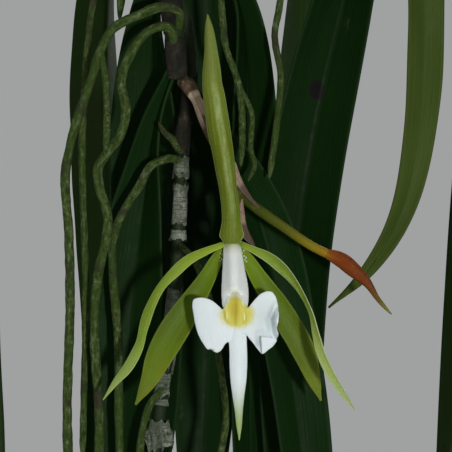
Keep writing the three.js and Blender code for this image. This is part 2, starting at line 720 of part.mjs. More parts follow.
// A lobe of the lip from its two outlines: stations run away from the middle of the lip, each with its
// upper and lower edge, and depth is where the lobe lies at that station, bowed by bow towards -Y.
function lobe(stations, bow) {
  const across = 5;
  const points = [];
  const faces = [];
  stations.forEach(([x, top, bottom, depth], k) => {
    const front = [];
    const back = [];
    for (let i = 0; i < across; i++) {
      const s = i / (across - 1);
      const y = depth - bow * (1 - (2 * s - 1) ** 2);
      const deep = lerp(0.55, 0.34, Math.abs(2 * s - 1));
      const z = lerp(top, bottom, s);
      front.push(new THREE.Vector3(x, y - deep, z));
      back.unshift(new THREE.Vector3(x, y + deep, z));
    }
    points.push(...front, ...back);
    if (k > 0) faces.push(...band((k - 1) * 2 * across, k * 2 * across, 2 * across, across));
  });
  return closed(points, faces.concat(ends(2 * across, stations.length - 1)));
}

const leftLobe = lobe(
  [
    [2.5, -21.5, -30, -12.4], [-2.6, -21.8, -33.5, -12.4], [-4.4, -20.6, -35.6, -12.6],
    [-6.1, -19.5, -35.1, -12.6], [-8.7, -18, -33.5, -12.4], [-10.6, -17.7, -31, -12],
    [-11.9, -18.2, -26.8, -11.6], [-12.8, -19.7, -22, -11.3],
  ],
  0.7,
);
const rightLobe = lobe(
  [
    [0, -21.5, -30, -12.4], [4.8, -21.2, -29.8, -12.4], [6.7, -19, -32.7, -12.6],
    [8.1, -17.8, -34.6, -12.7], [9.7, -16.6, -36.2, -13], [11.6, -15.9, -34.8, -13.3],
    [13.4, -16.5, -33.4, -13.6], [14.5, -19, -31.9, -13.2], [15, -22.6, -30.2, -12.6],
  ],
  0.8,
);
const middleLobe = blade({
  path: curve([
    [1.2, -12.4, -25], [2.2, -12.8, -33], [2.4, -13, -41], [2.5, -12.4, -48.5], [2.3, -11.2, -55],
    [2.3, -8.9, -63.2],
  ]),
  face: [[0, -1, 0], [0, -1, 0]], half: [3.0, 3.0, 2.95, 3.0, 2.95, 2.6, 1.9, 1.3, 0.3],
  lift: [-6, -14, -22, -26, -20], round: 1, thick: 1.1, edge: 0.65, steps: 9,
});
const claw = blade({
  path: curve([[0.2, -0.7, -3], [0.7, -6.2, -10.5], [1, -10.2, -17.1], [1.1, -12.3, -23.5]]),
  face: [[0, -0.8, 0.5], [0, -1, 0.1]], half: [2.4, 2.8, 3.2, 3.4, 3.4], lift: [6, 8, 8, 6, 2],
  round: 1, thick: 1.2, edge: 0.7, steps: 4,
});
// The callus is a raised pad with two blunt ridges on it, where the claw opens into the blade of the lip.
const CALLUS = [
  [1.2, -12.7, -21.8, 3.0, 1.2, 5.6], [-0.9, -12.7, -24.4, 0.75, 1.5, 2.3],
  [3.3, -12.7, -24, 0.75, 1.5, 2.3],
];
const callus = CALLUS.map(([x, y, z, rx, ry, rz]) => egg(6, 5).scale(rx, ry, rz).translate(x, y, z));
const lipWhole = join(leftLobe, rightLobe, middleLobe, claw, ...callus);
const beside = ["petal_left", "petal_right", "sepal_left", "sepal_right"];
const lipRoom = beside.map((name) => tepalSolid(TEPALS[name], GAP));
place(flower, "lip", carve(lipWhole, columnRoom, ...lipRoom), COLOUR.lip, 0.4);

// The flower stalk leaves the end of its stem, wrapped in dry scales, and carries the flower and the bud.
const STALK = {
  points: [
    [-17, 27.3, 54.3], [-14.5, 25.5, 51.9], [-12.6, 23.5, 48.8], [-11, 21.8, 45.4], [-9.3, 20.2, 41],
    [-6.5, 18, 34], [-2.6, 16, 26], [2.2, 14.4, 18],
  ],
  radii: [2.0, 2.0, 1.35, 1.4, 1.45, 1.45, 1.5, 1.7], steps: 10,
};
const BUD_STALK = {
  points: [
    [2.2, 13.8, 15.4], [6.2, 12.4, 12.4], [12.4, 9.9, 7.9], [17.3, 8, 4.5], [22.1, 6.2, 1.1],
    [26.4, 4.9, -1.6], [30.9, 3.9, -3.9],
  ],
  radii: [1.5, 1.7, 1.6, 1.5, 1.5],
};
const BUD = {
  points: [
    [31.1, 3.9, -4], [33.1, 3.2, -4.7], [36.1, 2.2, -6.3], [38.7, 1.2, -8.5], [41.2, 0.3, -10.7],
    [43.4, -0.6, -12.9], [45, -1.3, -15.2], [46.5, -2, -17.7], [48.9, -2.6, -20.7], [51.3, -3, -23.3],
  ],
  radii: [1.6, 2.35, 2.62, 2.4, 1.85, 1.25, 0.87, 0.65, 0.28], sides: 9, steps: 11,
};
const stalkRoom = tube(STALK, GAP);
const budStalkRoom = tube(BUD_STALK, GAP);
const parent = [
  stemSolid(STEMS.stem_a3, GAP),
  leafSolid(LEAVES.leaf_a3_right, GAP),
  leafSolid(LEAVES.leaf_a3_left, GAP),
];
parent.forEach((solid) => solid.translate(...FLOWER_AT.map((x) => -x)));
place(flower, "flower_stalk", carve(tube(STALK), ...parent, ovaryRoom), COLOUR.bract, 0.7);
place(flower, "bud_stalk", carve(tube(BUD_STALK), ovaryRoom, stalkRoom), COLOUR.ovary, 0.5);
place(flower, "bud", carve(tube(BUD), budStalkRoom), COLOUR.bud, 0.5);

// Bracts are stiff dry scales bent round the stalk they stand on, thicker here than the paper-thin real
// ones.
const BRACTS = {
  bract_stalk: {
    points: [[-12.2, 20.7, 47.8], [-10.9, 19.4, 45.2], [-9.2, 18, 41], [-6.9, 16, 35]],
    half: [1.9, 2.1, 1.9, 1.3, 0.4], lift: [52, 50, 44, 34], face: [[0.5, 1, 0.2], [0.4, 1, 0.2]],
  },
  bract_bud: {
    points: [[0.9, 12.6, 26], [2.6, 12, 21], [4.7, 10.8, 17], [6.8, 9.8, 13.8], [8.9, 9.2, 11]],
    half: [1.7, 2.0, 1.6, 0.9, 0.3], lift: [40, 46, 44, 30],
    face: [[-0.6, 0.8, -0.8], [-0.6, 0.8, -0.8]],
  },
  bract_flower: {
    points: [[3.5, 11.3, 14], [3.8, 10.3, 9.5], [4.4, 9, 5.2], [5.6, 8, 1.9], [7.4, 7, -1.6]],
    half: [1.6, 2.5, 2.6, 1.9, 0.4], lift: [46, 46, 40, 30], face: [[-0.8, 0.8, 0.1], [-0.8, 0.8, 0.1]],
  },
};
for (const [name, bract] of Object.entries(BRACTS)) {
  const solid = blade({ ...bract, path: curve(bract.points), round: 0.8, thick: 0.8, edge: 0.7, steps: 7 });
  place(flower, name, carve(solid, stalkRoom, ovaryRoom, budStalkRoom), COLOUR.bract, 0.85);
}

// The hanger. Each wire runs from the crimp down to the rim, down the outside of the collar and under it.
const CRIMP_H = 14;
const CRIMP_R = 4.5;
const CRIMP_TOP = DROP - HOOK_INNER_R * 2 - 22; // height of the crimp's top above the rim
const clipR = RIM_R + GAP + WIRE_R + 0.3;
const under = -COLLAR_H - GAP - WIRE_R;
const wirePath = curve(
  [
    [2.2, CRIMP_TOP - CRIMP_H - GAP - 0.3],
    [clipR - 16.5, 40],
    [clipR - 1.6, 5],
    [clipR, -1],
    [clipR - 0.3, -12],
    [clipR - 0.6, -COLLAR_H + 1],
    [clipR - 1, under + 0.9],
    [clipR - 2.4, under - 0.4],
    [RIM_R - COLLAR_STEP + GAP + 1.2, under - 0.5],
  ].map(([r, z]) => [r, 0, z]),
);
const wire = limb(wirePath, () => WIRE_R, 6, bySpan(wirePath, 2));
const BEARINGS = { wire_front_left: -142, wire_front_right: -28, wire_back: 92 };
for (const [name, bearing] of Object.entries(BEARINGS)) {
  place(hanging, name, wire.clone().rotateZ(radians(bearing)), COLOUR.wire, 0.35, 0.9);
}

// The hook is one thick wire swaged into the crimp, bent into a crook that opens to -X.
const crook = even(9).map((t) => {
  const angle = radians(lerp(200, -50, t));
  const r = HOOK_INNER_R + HOOK_WIRE_R;
  return [r * Math.cos(angle), 0, -HOOK_INNER_R + r * Math.sin(angle)];
});
const crimpTop = CRIMP_TOP - DROP;
const shank = [[2.2, 0, -2 * HOOK_INNER_R - 6], [0, 0, -2 * HOOK_INNER_R - 13], [0, 0, crimpTop - 4]];
const hookPath = curve([...crook, ...shank]);
const hookWire = limb(hookPath, () => HOOK_WIRE_R, 8, bySpan(hookPath, 2));
const crimpProfile = [
  [0, crimpTop - CRIMP_H],
  [CRIMP_R, crimpTop - CRIMP_H],
  [CRIMP_R, crimpTop - 1],
  [CRIMP_R - 1, crimpTop],
  [0, crimpTop],
];
place(group, "hook", join(hookWire, turned(crimpProfile, 12)), COLOUR.wire, 0.35, 0.9);

export default group;
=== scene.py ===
# A hanging clay pot of a pendent orchid. Its stems lean over the rim and hang with their folded leaves and
# roots, and one of them carries an open flower and a bud. Listed sizes are in millimetres, from
# the centre of the pot's rim or from the middle of the flower. Everything built is in metres.

import math
import random

import bmesh
import bpy
import numpy as np
from mathutils import Euler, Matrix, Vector, noise


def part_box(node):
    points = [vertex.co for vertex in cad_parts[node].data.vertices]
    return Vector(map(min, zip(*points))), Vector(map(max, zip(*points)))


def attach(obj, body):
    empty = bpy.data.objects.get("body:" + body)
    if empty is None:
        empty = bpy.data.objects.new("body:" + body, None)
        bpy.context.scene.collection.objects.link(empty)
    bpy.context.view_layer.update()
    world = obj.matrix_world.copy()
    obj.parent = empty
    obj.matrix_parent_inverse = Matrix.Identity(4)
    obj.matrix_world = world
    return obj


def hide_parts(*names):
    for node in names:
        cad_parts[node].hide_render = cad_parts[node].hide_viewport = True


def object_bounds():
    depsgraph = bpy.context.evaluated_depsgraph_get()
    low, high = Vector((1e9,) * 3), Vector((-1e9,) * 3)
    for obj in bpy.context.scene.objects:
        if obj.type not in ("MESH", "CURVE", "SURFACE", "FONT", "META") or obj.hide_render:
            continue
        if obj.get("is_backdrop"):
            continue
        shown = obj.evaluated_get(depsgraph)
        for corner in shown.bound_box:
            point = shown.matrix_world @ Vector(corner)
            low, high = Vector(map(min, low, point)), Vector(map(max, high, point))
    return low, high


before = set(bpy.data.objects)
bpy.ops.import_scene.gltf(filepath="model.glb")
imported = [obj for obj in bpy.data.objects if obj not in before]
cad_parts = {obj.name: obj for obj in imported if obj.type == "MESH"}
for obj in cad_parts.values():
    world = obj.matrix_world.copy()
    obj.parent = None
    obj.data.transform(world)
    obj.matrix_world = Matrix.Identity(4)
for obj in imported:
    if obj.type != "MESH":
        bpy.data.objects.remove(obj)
cad_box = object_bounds()

# The pot
# Plain red clay, thrown on a wheel and fired without a glaze. It has a straight collar, a drain hole, and
# the pale bloom that watering leaves on old clay.
MM = 0.001
RIM = np.array([0, 0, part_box("pot")[1][2]])
POT_PROFILE = [  # radius and height, from inside the rim, over it, down the wall and back up inside
    [61.6, -60], [64.5, -24], [68, -3], [68.6, -0.8], [70.4, 0], [73, -0.1], [74.6, -0.9], [75, -2.6],
    [74.1, -21.5], [73.6, -23.4], [72.6, -24], [71.4, -24.4], [70.8, -26], [66, -46.6], [54, -95.5],
    [47.8, -119.6], [46.4, -121.6], [44, -122], [9.6, -122], [8.3, -121.2], [8, -118], [8.4, -115.6],
    [10, -115], [38.6, -115], [41.4, -113.2], [47, -95], [61.6, -60],
]
POT_SIDES = 120
WALL_FOOT, WALL_TOP = -118, -26  # the stretch of wall below the collar
DARK_CLAY = (0.36, 0.105, 0.048)
LIGHT_CLAY = (0.53, 0.19, 0.098)
CLAY_PORE = (0.26, 0.07, 0.035)
LIME_BLOOM = (0.66, 0.55, 0.46)
WATER_STAIN = (0.1, 0.09, 0.05)
WRAP = "round_and_along"  # the map that each skin carries: how far round its ring, how far along


class Finish:
    """A material made up node by node. Each step adds one node and gives back what comes out of it."""

    def __init__(self, name, **sockets):
        self.material = bpy.data.materials.new(name)
        self.material.use_nodes = True
        self.tree = self.material.node_tree
        self.shader = self.tree.nodes["Principled BSDF"]
        for socket, value in sockets.items():
            self.give(self.shader, socket.replace("_", " "), value)

    def give(self, node, socket, value):
        if isinstance(value, bpy.types.NodeSocket):
            self.tree.links.new(value, node.inputs[socket])
        elif isinstance(value, (tuple, list)) and len(node.inputs[socket].default_value) == 4:
            node.inputs[socket].default_value = (*value[:3], 1)
        else:
            node.inputs[socket].default_value = value

    def step(self, kind, result, sockets, **settings):
        node = self.tree.nodes.new(kind)
        for key, value in settings.items():
            setattr(node, key, value)
        for socket, value in sockets.items():
            self.give(node, socket, value)
        return node.outputs[result]

    def spot(self):
        return self.step("ShaderNodeTexCoord", "Object", {})

    def wrap(self):
        """How far a point lies round its ring, as X, and from the first ring to the last, as Y."""
        return self.step("ShaderNodeUVMap", "UV", {}, uv_map=WRAP)

    def together(self, x, y):
        return self.step("ShaderNodeCombineXYZ", "Vector", {"X": x, "Y": y})

    def stretch(self, where, scale, shift=(0, 0, 0)):
        sockets = {"Vector": where, "Scale": scale, "Location": shift}
        return self.step("ShaderNodeMapping", "Vector", sockets)

    def cloud(self, where, scale, detail=4.0, rough=0.55, bend=0.0):
        sockets = {"Vector": where, "Scale": scale, "Detail": detail}
        sockets.update({"Roughness": rough, "Distortion": bend})
        return self.step("ShaderNodeTexNoise", "Fac", sockets)

    def strands(self, across, along, many, long, detail=4, rough=0.6):
        """Streaks that run the length of a piece: many of them side by side, each a share of its length."""
        side, up = self.sum("MULTIPLY", across, many), self.sum("MULTIPLY", along, long)
        return self.cloud(self.together(side, up), 1, detail, rough)

    def cells(self, where, scale, result="Distance"):
        return self.step("ShaderNodeTexVoronoi", result, {"Vector": where, "Scale": scale})

    def axis(self, where, letter):
        return self.step("ShaderNodeSeparateXYZ", letter, {"Vector": where})

    def sum(self, kind, a, b=0.0):
        node = self.tree.nodes.new("ShaderNodeMath")
        node.operation = kind
        self.give(node, 0, a)
        self.give(node, 1, b)
        return node.outputs[0]

    def band(self, value, low, high, start=0.0, end=1.0):
        """start below low and end above high, with a soft change from one to the other."""
        sockets = {"Value": value, "From Min": low, "From Max": high, "To Min": start, "To Max": end}
        return self.step("ShaderNodeMapRange", "Result", sockets, interpolation_type="SMOOTHSTEP")

    def shades(self, value, stops):
        node = self.tree.nodes.new("ShaderNodeValToRGB")
        self.give(node, "Fac", value)
        ramp = node.color_ramp
        while len(ramp.elements) < len(stops):
            ramp.elements.new(0.5)
        for element, (place, colour) in zip(ramp.elements, stops):
            element.position = place
            element.color = (*colour, 1)
        return node.outputs["Color"]

    def blend(self, share, a, b, kind="MIX"):
        node = self.tree.nodes.new("ShaderNodeMix")
        node.data_type = "RGBA"
        node.blend_type = kind
        self.give(node, 0, share)
        self.give(node, 6, a)
        self.give(node, 7, b)
        return node.outputs[2]

    def near(self, where, spot, reach):
        """1 at a spot, falling to 0 at reach from it in each direction."""
        here = self.stretch(where, tuple(1 / r for r in reach))
        there = tuple(s / r for s, r in zip(spot, reach))
        away = self.step("ShaderNodeVectorMath", "Value", {0: here, 1: there}, operation="DISTANCE")
        return self.band(away, 0.0, 1.0, 1.0, 0.0)

    def relief(self, height, depth, before=None, strength=1.0):
        sockets = {"Height": height, "Distance": depth, "Strength": strength}
        if before:
            sockets["Normal"] = before
        return self.step("ShaderNodeBump", "Normal", sockets)

    def colour(self, value):
        self.give(self.shader, "Base Color", value)

    def gloss(self, value):
        self.give(self.shader, "Roughness", value)

    def surface(self, value):
        self.give(self.shader, "Normal", value)


def skin(name, rings, filled=True, round_at=None):
    """A closed mesh over rings of points. round_at says how far round its ring each point counts."""
    steps, count = rings.shape[:2]
    points = [tuple(p) for p in rings.reshape(-1, 3)]
    if round_at is None:
        round_at = np.linspace(0, 1, count + 1)
    faces = []
    corners = []
    for k in range(steps - 1):
        low, high = k / (steps - 1), (k + 1) / (steps - 1)
        for i in range(count):
            j = (i + 1) % count
            faces.append((k * count + i, k * count + j, (k + 1) * count + j, (k + 1) * count + i))
            left, right = round_at[i], round_at[i + 1]
            corners += [(left, low), (right, low), (right, high), (left, high)]
    if filled:
        for at, end in ((0, 0.0), ((steps - 1) * count, 1.0)):
            points.append(tuple(rings.reshape(-1, 3)[at : at + count].mean(axis=0)))
            for i in range(count):
                faces.append((at + i, at + (i + 1) % count, len(points) - 1))
                corners += [(round_at[i], end), (round_at[i + 1], end), (round_at[i], end)]
    mesh = bpy.data.meshes.new(name)
    mesh.from_pydata(points, [], faces)
    mesh.uv_layers.new(name=WRAP).data.foreach_set("uv", np.array(corners, dtype=float).ravel())
    return tidied(mesh)


def tidied(mesh, weld=0.0):
    """The mesh with its faces turned outwards and shaded smooth, and points nearer than weld joined."""
    work = bmesh.new()
    work.from_mesh(mesh)
    if weld:
        bmesh.ops.remove_doubles(work, verts=work.verts, dist=weld)
    bmesh.ops.recalc_face_normals(work, faces=work.faces)
    work.to_mesh(mesh)
    work.free()
    mesh.shade_smooth()
    return mesh


def gathered(name, meshes):
    """Several meshes as one."""
    work = bmesh.new()
    for mesh in meshes:
        work.from_mesh(mesh)
        bpy.data.meshes.remove(mesh)
    whole = bpy.data.meshes.new(name)
    work.to_mesh(whole)
    work.free()
    whole.shade_smooth()
    return whole


def piece(name, mesh, finish, slot, *nodes):
    """A piece that hangs with the rest, takes the given finish and stands for these solids; slot is not used.
    """
    thing = bpy.data.objects.new(name, mesh)
    bpy.context.scene.collection.objects.link(thing)
    mesh.materials.clear()
    mesh.materials.append(finish.material)
    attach(thing, "root")
    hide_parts(*nodes)


def spline(keys, t):
    """Smooth values at t from evenly spaced keys."""
    keys = np.asarray(keys, dtype=float)
    x = np.clip(t, 0, 1) * (len(keys) - 1)
    i = np.minimum(np.floor(x).astype(int), len(keys) - 2)
    s = x - i
    a, b, c, d = keys[np.maximum(i - 1, 0)], keys[i], keys[i + 1], keys[np.minimum(i + 2, len(keys) - 1)]
    return b + 0.5 * s * (c - a + s * (2 * a - 5 * b + 4 * c - d + s * (3 * (b - c) + d - a)))


def below_rim(rings):
    """Points in millimetres from the centre of the rim, set where the pot hangs."""
    return rings * MM + RIM


def turned(profile, sides):
    """Rings of an outline of radius and height that is turned about an upright line."""
    angle = np.linspace(0, 2 * math.pi, sides, endpoint=False)
    rings = []
    for radius, height in profile:
        ring = [radius * np.cos(angle), radius * np.sin(angle), np.full(sides, height)]
        rings.append(np.stack(ring, axis=1))
    return np.array(rings)


def refined(profile, longest):
    """The same outline with extra points, none further apart than longest."""
    out = [profile[0]]
    for (r0, z0), (r1, z1) in zip(profile, profile[1:]):
        cuts = max(1, math.ceil(math.hypot(r1 - r0, z1 - z0) / longest))
        out += [[r0 + (r1 - r0) * c / cuts, z0 + (z1 - z0) * c / cuts] for c in range(1, cuts + 1)]
    return out


def thrown(profile):
    """The outline with throwing lines, shallow rings that the fingers leave in the outside of the wall."""
    lines = []
    for r, z in profile:
        on_wall = 1 if r > 44 and WALL_FOOT < z < WALL_TOP else 0.3
        lines.append([r + 0.16 * on_wall * math.sin(z * 0.9 + 1.7 * math.sin(z * 0.13)), z])
    return lines


clay = Finish("fired_clay", Roughness=0.85, Specular_IOR_Level=0.25)
where = clay.spot()
blotch = clay.cloud(where, 28, 6, 0.6)
grain = clay.cloud(where, 900, 3, 0.7)
body = clay.blend(blotch, DARK_CLAY, LIGHT_CLAY)
body = clay.blend(clay.band(grain, 0.35, 0.7, 0.0, 0.35), body, CLAY_PORE)
bloom = clay.band(clay.cloud(clay.stretch(where, (1, 1, 2.2)), 34, 8, 0.72, 0.6), 0.5, 0.68)
low = clay.band(clay.axis(where, "Z"), -0.27, -0.36, 0.15, 1.0)
body = clay.blend(clay.sum("MULTIPLY", bloom, low), body, LIME_BLOOM)
damp = clay.band(clay.cloud(clay.stretch(where, (1, 1, 0.6)), 22, 5, 0.6, 0.3), 0.56, 0.72)
foot = clay.band(clay.axis(where, "Z"), -0.33, -0.36, 0.0, 0.8)
clay.colour(clay.blend(clay.sum("MULTIPLY", damp, foot), body, WATER_STAIN))
clay.gloss(clay.band(bloom, 0, 1, 0.8, 0.95))
wheel = clay.relief(clay.cloud(clay.stretch(where, (4, 4, 400)), 1.0, 2, 0.5), 0.0003)
pores = clay.relief(clay.cells(where, 700), 0.0002, wheel, 0.5)
clay.surface(clay.relief(grain, 0.00035, pores, 0.7))
pot_rings = below_rim(turned(thrown(refined(POT_PROFILE, 3)), POT_SIDES))
pot_skin = skin("clay_pot", pot_rings, filled=False)
piece("clay_pot", tidied(pot_skin, weld=0.00001), clay, "fired_clay", "pot")

# The potting bark
# Chipped pine bark fills the pot to just below the rim. The chips are split flakes, dark and corky outside
# and red-brown where they broke, with a little green moss on the damp ones.
BARK_PROFILE = [  # radius and height of the mass that carries the loose chips
    [0.5, -114.6], [39, -114.6], [41, -112.5], [46.4, -95], [61, -60], [63, -26], [66, -17.5],
    [60, -15.5], [40, -14.5], [20, -13.6], [0.5, -13.4],
]
CHIP_COUNT = 230
CHIP_REACH = 60
CHIP_HEIGHT = -14.2
CHIP_TURN = 2.39996  # radians from one chip to the next, so that no two rows line up
CORK_SHADES = [
    (0, (0.045, 0.026, 0.017)), (0.45, (0.12, 0.062, 0.035)), (0.8, (0.2, 0.105, 0.06)),
    (1, (0.1, 0.08, 0.062)),
]
BARK_SPLIT = (0.025, 0.014, 0.01)
MOSS_GREEN = (0.05, 0.085, 0.02)
draw = random.Random(7)


def bark_chip(centre, size, turn):
    """One flake: a block with worn corners, split along its grain."""
    work = bmesh.new()
    bmesh.ops.create_cube(work, size=1)
    bmesh.ops.subdivide_edges(work, edges=work.edges, cuts=2, use_grid_fill=True)
    seed = Vector((draw.uniform(-50, 50), draw.uniform(-50, 50), draw.uniform(-50, 50)))
    for v in work.verts:
        v.co = v.co.lerp(v.co.normalized() * 0.62, 0.35)
        v.co = Vector(v.co[i] * size[i] for i in range(3))
        v.co += Vector(noise.noise_vector(v.co * 0.35 + seed)) * 1.3
        v.co.z += 0.5 * noise.noise(Vector((v.co.x * 0.3, v.co.y * 2.2, 0)) + seed)
    bmesh.ops.rotate(work, verts=work.verts, cent=(0, 0, 0), matrix=Euler(turn).to_matrix())
    for v in work.verts:
        v.co = below_rim(np.array(v.co) + centre)
    mesh = bpy.data.meshes.new("bark_chip")
    work.to_mesh(mesh)
    work.free()
    return mesh


lumps = [skin("bark_mass", below_rim(turned(refined(BARK_PROFILE, 4), 60)))]
for i in range(CHIP_COUNT):
    reach = CHIP_REACH * math.sqrt((i + 0.5) / CHIP_COUNT)
    bearing = i * CHIP_TURN
    height = CHIP_HEIGHT + draw.uniform(-0.8, 2.4)
    centre = (reach * math.cos(bearing), reach * math.sin(bearing), height)
    size = (draw.uniform(7, 16), draw.uniform(5, 10), draw.uniform(2.2, 4.5))
    lumps.append(bark_chip(centre, size, (draw.gauss(0, 0.35), draw.gauss(0, 0.35), draw.uniform(0, 6.3))))
bark = Finish("potting_bark", Roughness=0.92)
where = bark.spot()
each = bark.step("ShaderNodeNewGeometry", "Random Per Island", {})
cork = bark.shades(each, CORK_SHADES)
split = bark.cloud(bark.stretch(where, (1, 1, 5)), 160, 6, 0.7, 0.5)
cork = bark.blend(bark.band(split, 0.42, 0.7, 0, 0.65), cork, BARK_SPLIT)
moss = bark.band(bark.cloud(where, 45, 5, 0.65), 0.57, 0.68, 0, 0.75)
bark.colour(bark.blend(moss, cork, MOSS_GREEN))
bark.surface(bark.relief(bark.cloud(where, 700, 3, 0.7), 0.0004, bark.relief(split, 0.0012)))
piece("potting_bark", gathered("potting_bark", lumps), bark, "potting_bark", "potting_bark")

# The hanger
# Three galvanised wires are bent under the collar of the pot, rise to a sleeve that is squeezed round them,
# and hang from a round hook of thicker wire. The zinc has dulled to a pale grey.
WIRE_R = 1.1
HOOK_R = 1.6
CROOK_R = 14.6
CRIMP_TOP = 192
CRIMP_FOOT = 178
CRIMP_R = 4.5
WIRE_BEARINGS = {"wire_front_left": -142, "wire_front_right": -28, "wire_back": 92}
WIRE_LINE = [  # distance from the pot's axis and height, from the sleeve to the hold under the collar
    [2.2, 177.4], [60.2, 40], [75.1, 5], [76.7, -1], [76.4, -12], [76.1, -23], [75.7, -24.5], [74.3, -25.8],
    [72.5, -25.9],
]
SHANK = [[2.2, 0, 208], [0, 0, 201], [0, 0, CRIMP_TOP - 4]]
BRIGHT_ZINC = (0.5, 0.51, 0.52)
DULL_ZINC = (0.3, 0.31, 0.32)


class Path:
    """A smooth line through points, read by the share of its length that lies before a place."""

    def __init__(self, points):
        p = np.array(points, dtype=float)
        p = np.vstack([2 * p[0] - p[1], p, 2 * p[-1] - p[-2]])
        line = [p[1]]
        for a, b, c, d in zip(p, p[1:], p[2:], p[3:]):
            before, here, after = (np.linalg.norm(v) ** 0.5 for v in (b - a, c - b, d - c))
            leave = here * ((b - a) / before - (c - a) / (before + here) + (c - b) / here)
            reach = here * ((c - b) / here - (d - b) / (here + after) + (d - c) / after)
            for s in np.linspace(0, 1, 41)[1:]:
                bend = (3 * (c - b) - 2 * leave - reach) * s**2 + (2 * (b - c) + leave + reach) * s**3
                line.append(b + leave * s + bend)
        self.line = np.array(line)
        self.run = np.concatenate([[0], np.cumsum(np.linalg.norm(np.diff(self.line, axis=0), axis=1))])
        self.length = self.run[-1]
        self.slope = np.gradient(self.line, self.run, axis=0)

    def read(self, t, values):
        run = np.asarray(t) * self.length
        return np.stack([np.interp(run, self.run, values[:, k]) for k in range(3)], axis=-1)

    def at(self, t):
        return self.read(t, self.line)

    def way(self, t):
        ahead = self.read(t, self.slope)
        return ahead / np.linalg.norm(ahead, axis=-1, keepdims=True)

    def frames(self, t):
        """Two directions square to the line at each share, turned no more than its bends need."""
        ways = self.way(t)
        side = np.cross(ways[0], [0, 0, 1] if abs(ways[0][2]) < 0.9 else [1, 0, 0])
        sides = []
        for way in ways:
            side = side - way * side.dot(way)
            side = side / np.linalg.norm(side)
            sides.append(side)
        return np.array(sides), np.cross(ways, sides)


def limb(path, radii, sides, shares):
    """Rings of a round limb, with a thickness for each ring or for each of its points."""
    across, over = path.frames(shares)
    angle = np.linspace(0, 2 * math.pi, sides, endpoint=False)[None, :, None]
    out = np.cos(angle) * across[:, None] + np.sin(angle) * over[:, None]
    radii = np.asarray(radii, dtype=float)
    return path.at(shares)[:, None] + out * (radii[:, :, None] if radii.ndim == 2 else radii[:, None, None])


zinc = Finish("galvanised_wire", Metallic=1.0, Roughness=0.42)
where = zinc.spot()
flower_of_zinc = zinc.cells(zinc.stretch(where, (1, 1, 0.5)), 420, result="Color")
dull = zinc.cloud(where, 260, 4, 0.6)
zinc.colour(zinc.blend(dull, BRIGHT_ZINC, DULL_ZINC))
zinc.gloss(zinc.band(zinc.axis(flower_of_zinc, "X"), 0, 1, 0.3, 0.55))
zinc.surface(zinc.relief(dull, 0.0002))


def bent(path, radius, sides=14):
    """A round wire along a path, with a ring at each of its bends."""
    shares = np.unique(np.concatenate([np.linspace(0, 1, 60), path.run[::4] / path.length]))
    return skin("wire", below_rim(limb(path, np.full(len(shares), radius), sides, shares)))


for name, bearing in WIRE_BEARINGS.items():
    turn = math.radians(bearing)
    line = [[out * math.cos(turn), out * math.sin(turn), z] for out, z in WIRE_LINE]
    piece("hanger_" + name, bent(Path(line), WIRE_R), zinc, "galvanised_wire", name)

top = -RIM[2] / MM - CROOK_R + HOOK_R
crook = []
for bearing in np.linspace(200, -50, 10):
    turn = math.radians(bearing)
    crook.append([CROOK_R * math.cos(turn), 0, top + CROOK_R * math.sin(turn)])
sleeve_line = Path([[0, 0, CRIMP_FOOT], [0, 0, (CRIMP_FOOT + CRIMP_TOP) / 2], [0, 0, CRIMP_TOP]])
shares = np.linspace(0, 1, 57)  # the sleeve is pinched flat in three places along it
angle = np.linspace(0, 2 * math.pi, 48, endpoint=False)[None, :]
squeeze = 0.55 * np.cos(2 * angle) * (np.cos(shares * 6 * math.pi) < -0.2)[:, None] * np.ones((1, 48))
sleeve_r = CRIMP_R - 0.25 - 0.4 * np.maximum(squeeze, -0.2) - 0.9 * np.abs(2 * shares - 1)[:, None] ** 14
sleeve = skin("sleeve", below_rim(limb(sleeve_line, sleeve_r, 48, shares)))
hook = gathered("hook", [bent(Path(crook + SHANK), HOOK_R, 20), sleeve])
piece("hanger_hook", hook, zinc, "galvanised_wire", "hook")

# The stems
# Canes as thick as a pencil, each as long as a finger or two, with a ridge at every joint. A new cane grows
# from the side of the one before it. The skin is olive green, smooth, and faintly ribbed as it ages.
STEMS = {  # thickest half width, how many joints, and the middle line
    "stem_a1": [4.0, 5, [[-12, -32, -34], [-15, -48, 2], [-19, -72, 10], [-21, -89, -14], [-22, -95, -48]]],
    "stem_a2": [3.7, 4, [[-21, -92, -28], [-25, -99, -50], [-23, -101, -88], [-18, -99, -122]]],
    "stem_a3": [3.3, 4, [[-20, -100, -108], [-23, -104, -124], [-20, -102, -148], [-18, -101, -171]]],
    "stem_a4": [2.1, 8, [
        [-19.5, -101, -141], [-15, -95, -152], [-14, -91, -172], [-16.5, -95, -190], [-17.5, -97, -215],
        [-19.5, -97, -245], [-23.5, -97, -276], [-28, -96, -322],
    ]],
    "stem_b1": [4.0, 5, [[20, -30, -34], [27, -50, 2], [36, -70, 10], [45, -86, -16], [50, -90, -62]]],
    "stem_c1": [4.0, 5, [[-38, -4, -34], [-55, -4, 2], [-75, -6, 10], [-90, -8, -14], [-96, -8, -56]]],
    "stem_d1": [4.0, 5, [[38, 6, -34], [55, 8, 2], [75, 11, 10], [90, 13, -14], [95, 14, -56]]],
    "stem_e1": [4.0, 5, [[-16, 32, -34], [-22, 50, 2], [-29, 71, 10], [-33, 88, -14], [-34, 94, -58]]],
    "stem_e2": [3.8, 5, [[18, 34, -34], [23, 51, 2], [28, 72, 10], [31, 88, -14], [31, 92, -52]]],
}
LOWER_CANES = ("stem_a3", "stem_a4")  # the two that hang lowest, in the shade, and are darkest
CANE_STAIN = (0.025, 0.014, 0.009)


